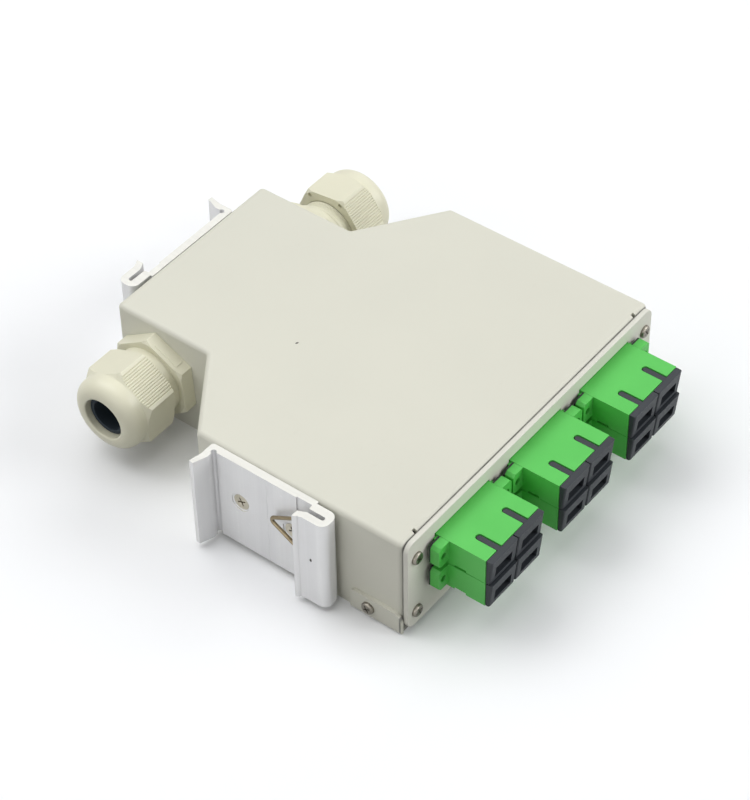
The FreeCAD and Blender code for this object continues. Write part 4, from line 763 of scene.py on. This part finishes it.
@dataclass
class CableGland:
    """One cable gland with its thread, sealing parts and marks."""

    side: Side
    body_turn: float
    axis_y: float = FRONT + 112.0 * MM
    axis_z: float = BOX_HEIGHT / 2 + 0.05 * MM
    wall_x: float = 34.55 * MM
    thread_start: float = 8.2 * MM
    thread_turns: float = 4.4
    thread_pitch: float = 1.5 * MM
    thread_root: float = 9.6 * MM
    thread_crest: float = 9.97 * MM
    thread_foot_share: float = 0.84
    thread_top_share: float = 0.24
    steps_per_turn: int = 56
    body_edge: float = 0.35 * MM
    nut_edge: float = 0.10 * MM
    pad_length: float = 9.2 * MM
    pad_width: float = 2.7 * MM
    pad_rise: float = 0.18 * MM
    pad_edge: float = 0.08 * MM
    pad_rear: float = 2.4 * MM
    flat_distance: float = 13.0 * MM

    def stand(self) -> Matrix:
        """Find where the gland stands.

        Returns:
            The placement of the gland's own frame, with its axis pointing out of the wall.
        """
        turn = Matrix.Rotation(math.radians(90.0 * self.side.value), 4, "Y")
        move = Matrix.Translation((self.side.value * self.wall_x, self.axis_y, self.axis_z))
        return move @ turn

    def build(self, shop: Workshop) -> None:
        """Dress the gland's nodes and add its fine forms.

        Args:
            shop: turns the shapes into pieces.
        """
        name = self.side.word + "_gland_"
        shop.dress(name + "body", ["gland_ivory"], self.body_edge, 3)
        shop.dress(name + "nut", ["gland_ivory"], self.nut_edge, 1)
        shop.dress(name + "locknut", ["gland_ivory"], self.body_edge)
        shop.dress(name + "seal", ["seal_rubber"], self.body_edge)
        shop.dress(name + "gasket", ["gasket_rubber"], self.nut_edge)
        self.neck_thread(shop)
        self.blank_pad(shop)

    def neck_thread(self, shop: Workshop) -> None:
        """Make the ridge that winds round the neck, where the dome nut runs.

        Args:
            shop: turns the shapes into pieces.
        """
        bm = bmesh.new()
        foot = self.thread_foot_share * self.thread_pitch / 2
        top = self.thread_top_share * self.thread_pitch / 2
        profile = (
            (self.thread_root, -foot),
            (self.thread_crest, -top),
            (self.thread_crest, top),
            (self.thread_root, foot),
        )
        corners = [bm.verts.new((radius, 0.0, self.thread_start + foot + along)) for radius, along in profile]
        edges = [bm.edges.new(pair) for pair in zip(corners, corners[1:] + corners[:1])]
        steps = round(self.steps_per_turn * self.thread_turns)
        bmesh.ops.spin(
            bm, geom=corners + edges, cent=(0, 0, 0), axis=(0, 0, 1),
            dvec=(0, 0, self.thread_pitch * self.thread_turns / steps),
            angle=2.0 * math.pi * self.thread_turns, steps=steps, use_duplicate=False,
        )
        rims = [edge for edge in bm.edges if edge.is_boundary]
        bmesh.ops.holes_fill(bm, edges=rims, sides=len(profile))
        bmesh.ops.recalc_face_normals(bm, faces=bm.faces)
        bm.transform(self.stand())
        shop.piece(self.side.word + "_gland_neck_thread", bm, ["gland_ivory"], BOX_BODY)

    def blank_pad(self, shop: Workshop) -> None:
        """Make the raised blank pad on one flat of the body's hexagon.

        Args:
            shop: turns the shapes into pieces.
        """
        bm = bmesh.new()
        bmesh.ops.create_cube(bm, size=1.0)
        bmesh.ops.scale(bm, vec=(2.0 * self.pad_rise, self.pad_length, self.pad_width), verts=bm.verts)
        bmesh.ops.bevel(
            bm, geom=list(bm.edges), offset=self.pad_edge, offset_type="OFFSET", segments=2, profile=0.5,
            affect="EDGES", clamp_overlap=True, material=-1,
        )
        bmesh.ops.translate(bm, vec=(self.flat_distance, 0, self.pad_rear), verts=bm.verts)
        turn = Matrix.Rotation(math.radians(self.body_turn), 4, "Z")
        bm.transform(self.stand() @ turn)
        shop.piece(self.side.word + "_gland_blank_pad", bm, ["gland_ivory"], BOX_BODY)


@dataclass
class RailClip:
    """One extruded rail clip with its wire spring and staking mark."""

    node: str
    spring: str
    origin: Triple
    turn: float
    edge: float = 0.14 * MM
    mark_along: float = 5.2 * MM
    mark_out: float = 7.5 * MM
    mark_up: float = 19.6 * MM
    mark_radius: float = 0.38 * MM
    mark_shape: Triple = (1.0, 0.16, 1.7)

    def build(self, shop: Workshop) -> None:
        """Dress the extrusion and the spring, and add the staking mark.

        Args:
            shop: turns the shapes into pieces.
        """
        shop.dress(self.node, ["extruded_face", "sawn_end"], self.edge)
        shop.dress(self.spring, ["drawn_wire"])
        self.staking_mark(shop)

    def staking_mark(self, shop: Workshop) -> None:
        """Make the small punched mark on the channel's arm, a flat dark spot whose colour is painted shade
        for the punched dimple.

        Args:
            shop: turns the shapes into pieces.
        """
        bm = bmesh.new()
        bmesh.ops.create_uvsphere(bm, u_segments=20, v_segments=10, radius=self.mark_radius)
        bmesh.ops.scale(bm, vec=self.mark_shape, verts=bm.verts)
        bmesh.ops.translate(bm, vec=(self.mark_along, self.mark_out, self.mark_up), verts=bm.verts)
        turn = Matrix.Rotation(math.radians(self.turn), 4, "Z")
        bm.transform(Matrix.Translation(self.origin) @ turn)
        shop.piece(self.node + "_staking_mark", bm, ["old_dirt"], BOX_BODY)


@dataclass
class FastenerSet:
    """All screws, nuts and stand-offs, by their plating."""

    nickel_plated: tuple[str, ...] = ("panel_screws", "cover_screws", "tray_screws")
    zinc_plated: tuple[str, ...] = ("clip_screws", "clip_nuts", "tray_standoffs")

    def build(self, shop: Workshop) -> None:
        """Dress the fasteners.

        Args:
            shop: turns the shapes into pieces.
        """
        for node in self.nickel_plated:
            shop.dress(node, ["nickel_screw"])
        for node in self.zinc_plated:
            shop.dress(node, ["zinc_screw"])


@dataclass
class SpliceTray:
    """The tray with its comb and lid, inside the housing."""

    edge: float = 0.2 * MM

    def build(self, shop: Workshop) -> None:
        """Dress the tray, its comb and its lid.

        Args:
            shop: turns the shapes into pieces.
        """
        shop.dress("splice_tray", ["tray_plastic"], self.edge)
        shop.dress("splice_comb", ["tray_plastic"], self.edge)
        shop.dress("tray_lid", ["clear_lid"], self.edge)


@dataclass(frozen=True)
class Lamp:
    """One square soft lamp: its place and side in metres, its power in watts."""

    name: str
    place: Triple
    side: float
    power: float
    aim: Triple = (0.0, 0.0, 0.0)

    def hang(self) -> None:
        """Add the lamp to the scene, turned to the point that it aims at."""
        data = bpy.data.lights.new(self.name, "AREA")
        data.shape = "SQUARE"
        data.size = self.side
        data.energy = self.power
        lamp = bpy.data.objects.new(self.name, data)
        ahead = Vector(self.aim) - Vector(self.place)
        turn = ahead.to_track_quat("-Z", "Y").to_matrix().to_4x4()
        lamp.matrix_world = Matrix.Translation(self.place) @ turn
        bpy.context.scene.collection.objects.link(lamp)


ADAPTERS = (0.0, 0.0, 0.02)
LAMPS = (
    Lamp("key_softbox", (0.05, 0.25, 1.10), side=1.1, power=5.0),
    Lamp("back_softbox", (-0.05, 0.70, 1.00), side=0.9, power=5.2),
    Lamp("back_left_fill", (-0.70, 0.70, 0.80), side=0.7, power=2.7),
    Lamp("front_fill", (0.70, -0.95, 0.75), side=0.8, power=10.0, aim=ADAPTERS),
    Lamp("front_left_fill", (-0.70, -0.80, 0.70), side=0.7, power=1.0),
    Lamp("front_low_fill", (0.20, -1.30, 0.30), side=0.6, power=3.4, aim=ADAPTERS),
    Lamp("left_fill", (-1.10, 0.0, 0.42), side=0.7, power=2.7),
    Lamp("right_fill", (1.10, 0.20, 0.60), side=0.8, power=1.9),
)


@dataclass
class Studio:
    """Floor, lamps, sky and camera, with places in metres and the photograph's sizes in pixels."""

    eye: Triple = (-0.43671, -0.35144, 0.56046)
    target: Triple = (-0.00848, -0.02351, 0.018)
    roll: float = -0.466
    focal_pixels: float = 2569.9
    centre_shift: tuple[float, float] = (25.73, 21.26)
    sensor_width: float = 36.0
    nearest: float = 0.01
    floor_reach: float = 8.0
    floor_drop: float = 0.02 * MM
    floor_shown: Triple = (0.925, 0.935, 0.95)
    floor_bounce: float = 0.38
    sky_colour: Triple = (0.96, 0.98, 1.0)
    sky_strength: float = 0.04

    def build(self) -> None:
        """Set up the whole studio."""
        self.camera()
        self.floor()
        self.world()
        for lamp in LAMPS:
            lamp.hang()

    def camera(self) -> None:
        """Set the camera at the photograph's place, with its frame and small off-centre shift."""
        data = bpy.data.cameras.new("photo_camera")
        data.sensor_width = self.sensor_width
        data.lens = self.focal_pixels * data.sensor_width / PHOTO_LONG_SIDE
        data.shift_x = -self.centre_shift[0] / PHOTO_LONG_SIDE
        data.shift_y = self.centre_shift[1] / PHOTO_LONG_SIDE
        data.clip_start = self.nearest
        camera = bpy.data.objects.new("photo_camera", data)
        ahead = (Vector(self.target) - Vector(self.eye)).normalized()
        level = ahead.cross(Vector((0, 0, 1))).normalized()
        above = level.cross(ahead)
        tilt = math.radians(self.roll)
        right = level * math.cos(tilt) + above * math.sin(tilt)
        up = right.cross(ahead)
        facing = Matrix((right, up, -ahead)).transposed().to_4x4()
        camera.matrix_world = Matrix.Translation(self.eye) @ facing
        bpy.context.scene.collection.objects.link(camera)
        bpy.context.scene.camera = camera

    def floor(self) -> None:
        """Lay a plain pale floor that shows white and keeps the object's shadow."""
        bm = bmesh.new()
        bmesh.ops.create_grid(bm, x_segments=2, y_segments=2, size=self.floor_reach)
        bmesh.ops.translate(bm, vec=(0, 0, -self.floor_drop), verts=bm.verts)
        mesh = bpy.data.meshes.new("studio_floor")
        bm.to_mesh(mesh)
        bm.free()
        floor = bpy.data.objects.new("studio_floor", mesh)
        bpy.context.scene.collection.objects.link(floor)
        mesh.materials.append(self.floor_material())

    def floor_material(self) -> bpy.types.Material:
        """Make the floor white to the camera and in reflections, and duller in the light that it bounces.

        Returns:
            The floor's material.
        """
        material = bpy.data.materials.new("studio_floor")
        material.use_nodes = True
        material.node_tree.nodes.clear()
        board = NodeBoard(material.node_tree)
        shown = board.add("ShaderNodeBsdfDiffuse")
        shown.inputs["Color"].default_value = (*self.floor_shown, 1.0)
        bounced = board.add("ShaderNodeBsdfDiffuse")
        bounced.inputs["Color"].default_value = (self.floor_bounce, self.floor_bounce, self.floor_bounce, 1.0)
        output = board.add("ShaderNodeOutputMaterial")
        board.link(self.by_ray(board, bounced, shown), output.inputs["Surface"])
        return material

    def world(self) -> None:
        """Make an even sky for light, and white where the camera or a gloss sees it."""
        world = bpy.data.worlds.new("studio_sky")
        world.use_nodes = True
        world.node_tree.nodes.clear()
        board = NodeBoard(world.node_tree)
        light = board.add("ShaderNodeBackground")
        light.inputs["Color"].default_value = (*self.sky_colour, 1.0)
        light.inputs["Strength"].default_value = self.sky_strength
        backdrop = board.add("ShaderNodeBackground")
        backdrop.inputs["Color"].default_value = (1.0, 1.0, 1.0, 1.0)
        backdrop.inputs["Strength"].default_value = 1.0
        output = board.add("ShaderNodeOutputWorld")
        board.link(self.by_ray(board, light, backdrop), output.inputs["Surface"])
        bpy.context.scene.world = world

    @staticmethod
    def by_ray(
        board: NodeBoard, lighting: bpy.types.Node, shown: bpy.types.Node
    ) -> bpy.types.NodeSocket:
        """Choose between two shaders by the kind of ray.

        Args:
            board: the board of the floor or the sky.
            lighting: the shader that lights the object.
            shown: the shader that the camera sees, also in a gloss or through the lid.

        Returns:
            The shader's socket.
        """
        path = board.add("ShaderNodeLightPath")
        seen = board.maths("MAXIMUM", path.outputs["Is Camera Ray"], path.outputs["Is Glossy Ray"])
        seen = board.maths("MAXIMUM", seen, path.outputs["Is Transmission Ray"])
        blend = board.add("ShaderNodeMixShader")
        board.link(seen, blend.inputs[0])
        board.link(lighting.outputs[0], blend.inputs[1])
        board.link(shown.outputs[0], blend.inputs[2])
        return blend.outputs[0]


def main() -> None:
    """Load the frame, dress every sub-assembly and light the scene."""
    logging.basicConfig(level=logging.INFO, format="%(name)s: %(message)s")
    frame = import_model()
    bpy.context.scene.view_settings.view_transform = "Standard"
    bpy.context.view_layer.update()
    studio = Studio()
    studio.build()
    shop = Workshop(frame)
    assemblies = (
        SheetHousing(),
        AdapterBank(),
        CableGland(Side.LEFT, body_turn=-26.7),
        CableGland(Side.RIGHT, body_turn=57.0),
        RailClip("side_rail_clip", "side_clip_spring", (-BOX_WIDTH / 2, FRONT + 21.4 * MM, 0.0), turn=90.0),
        RailClip("rear_rail_clip", "rear_clip_spring", (-25.8 * MM, REAR, 0.0), turn=0.0),
        FastenerSet(),
        SpliceTray(),
    )
    for assembly in assemblies:
        assembly.build(shop)
        LOG.info("%s is built, %d pieces so far", type(assembly).__name__, shop.count)


if __name__ == "__main__":
    main()
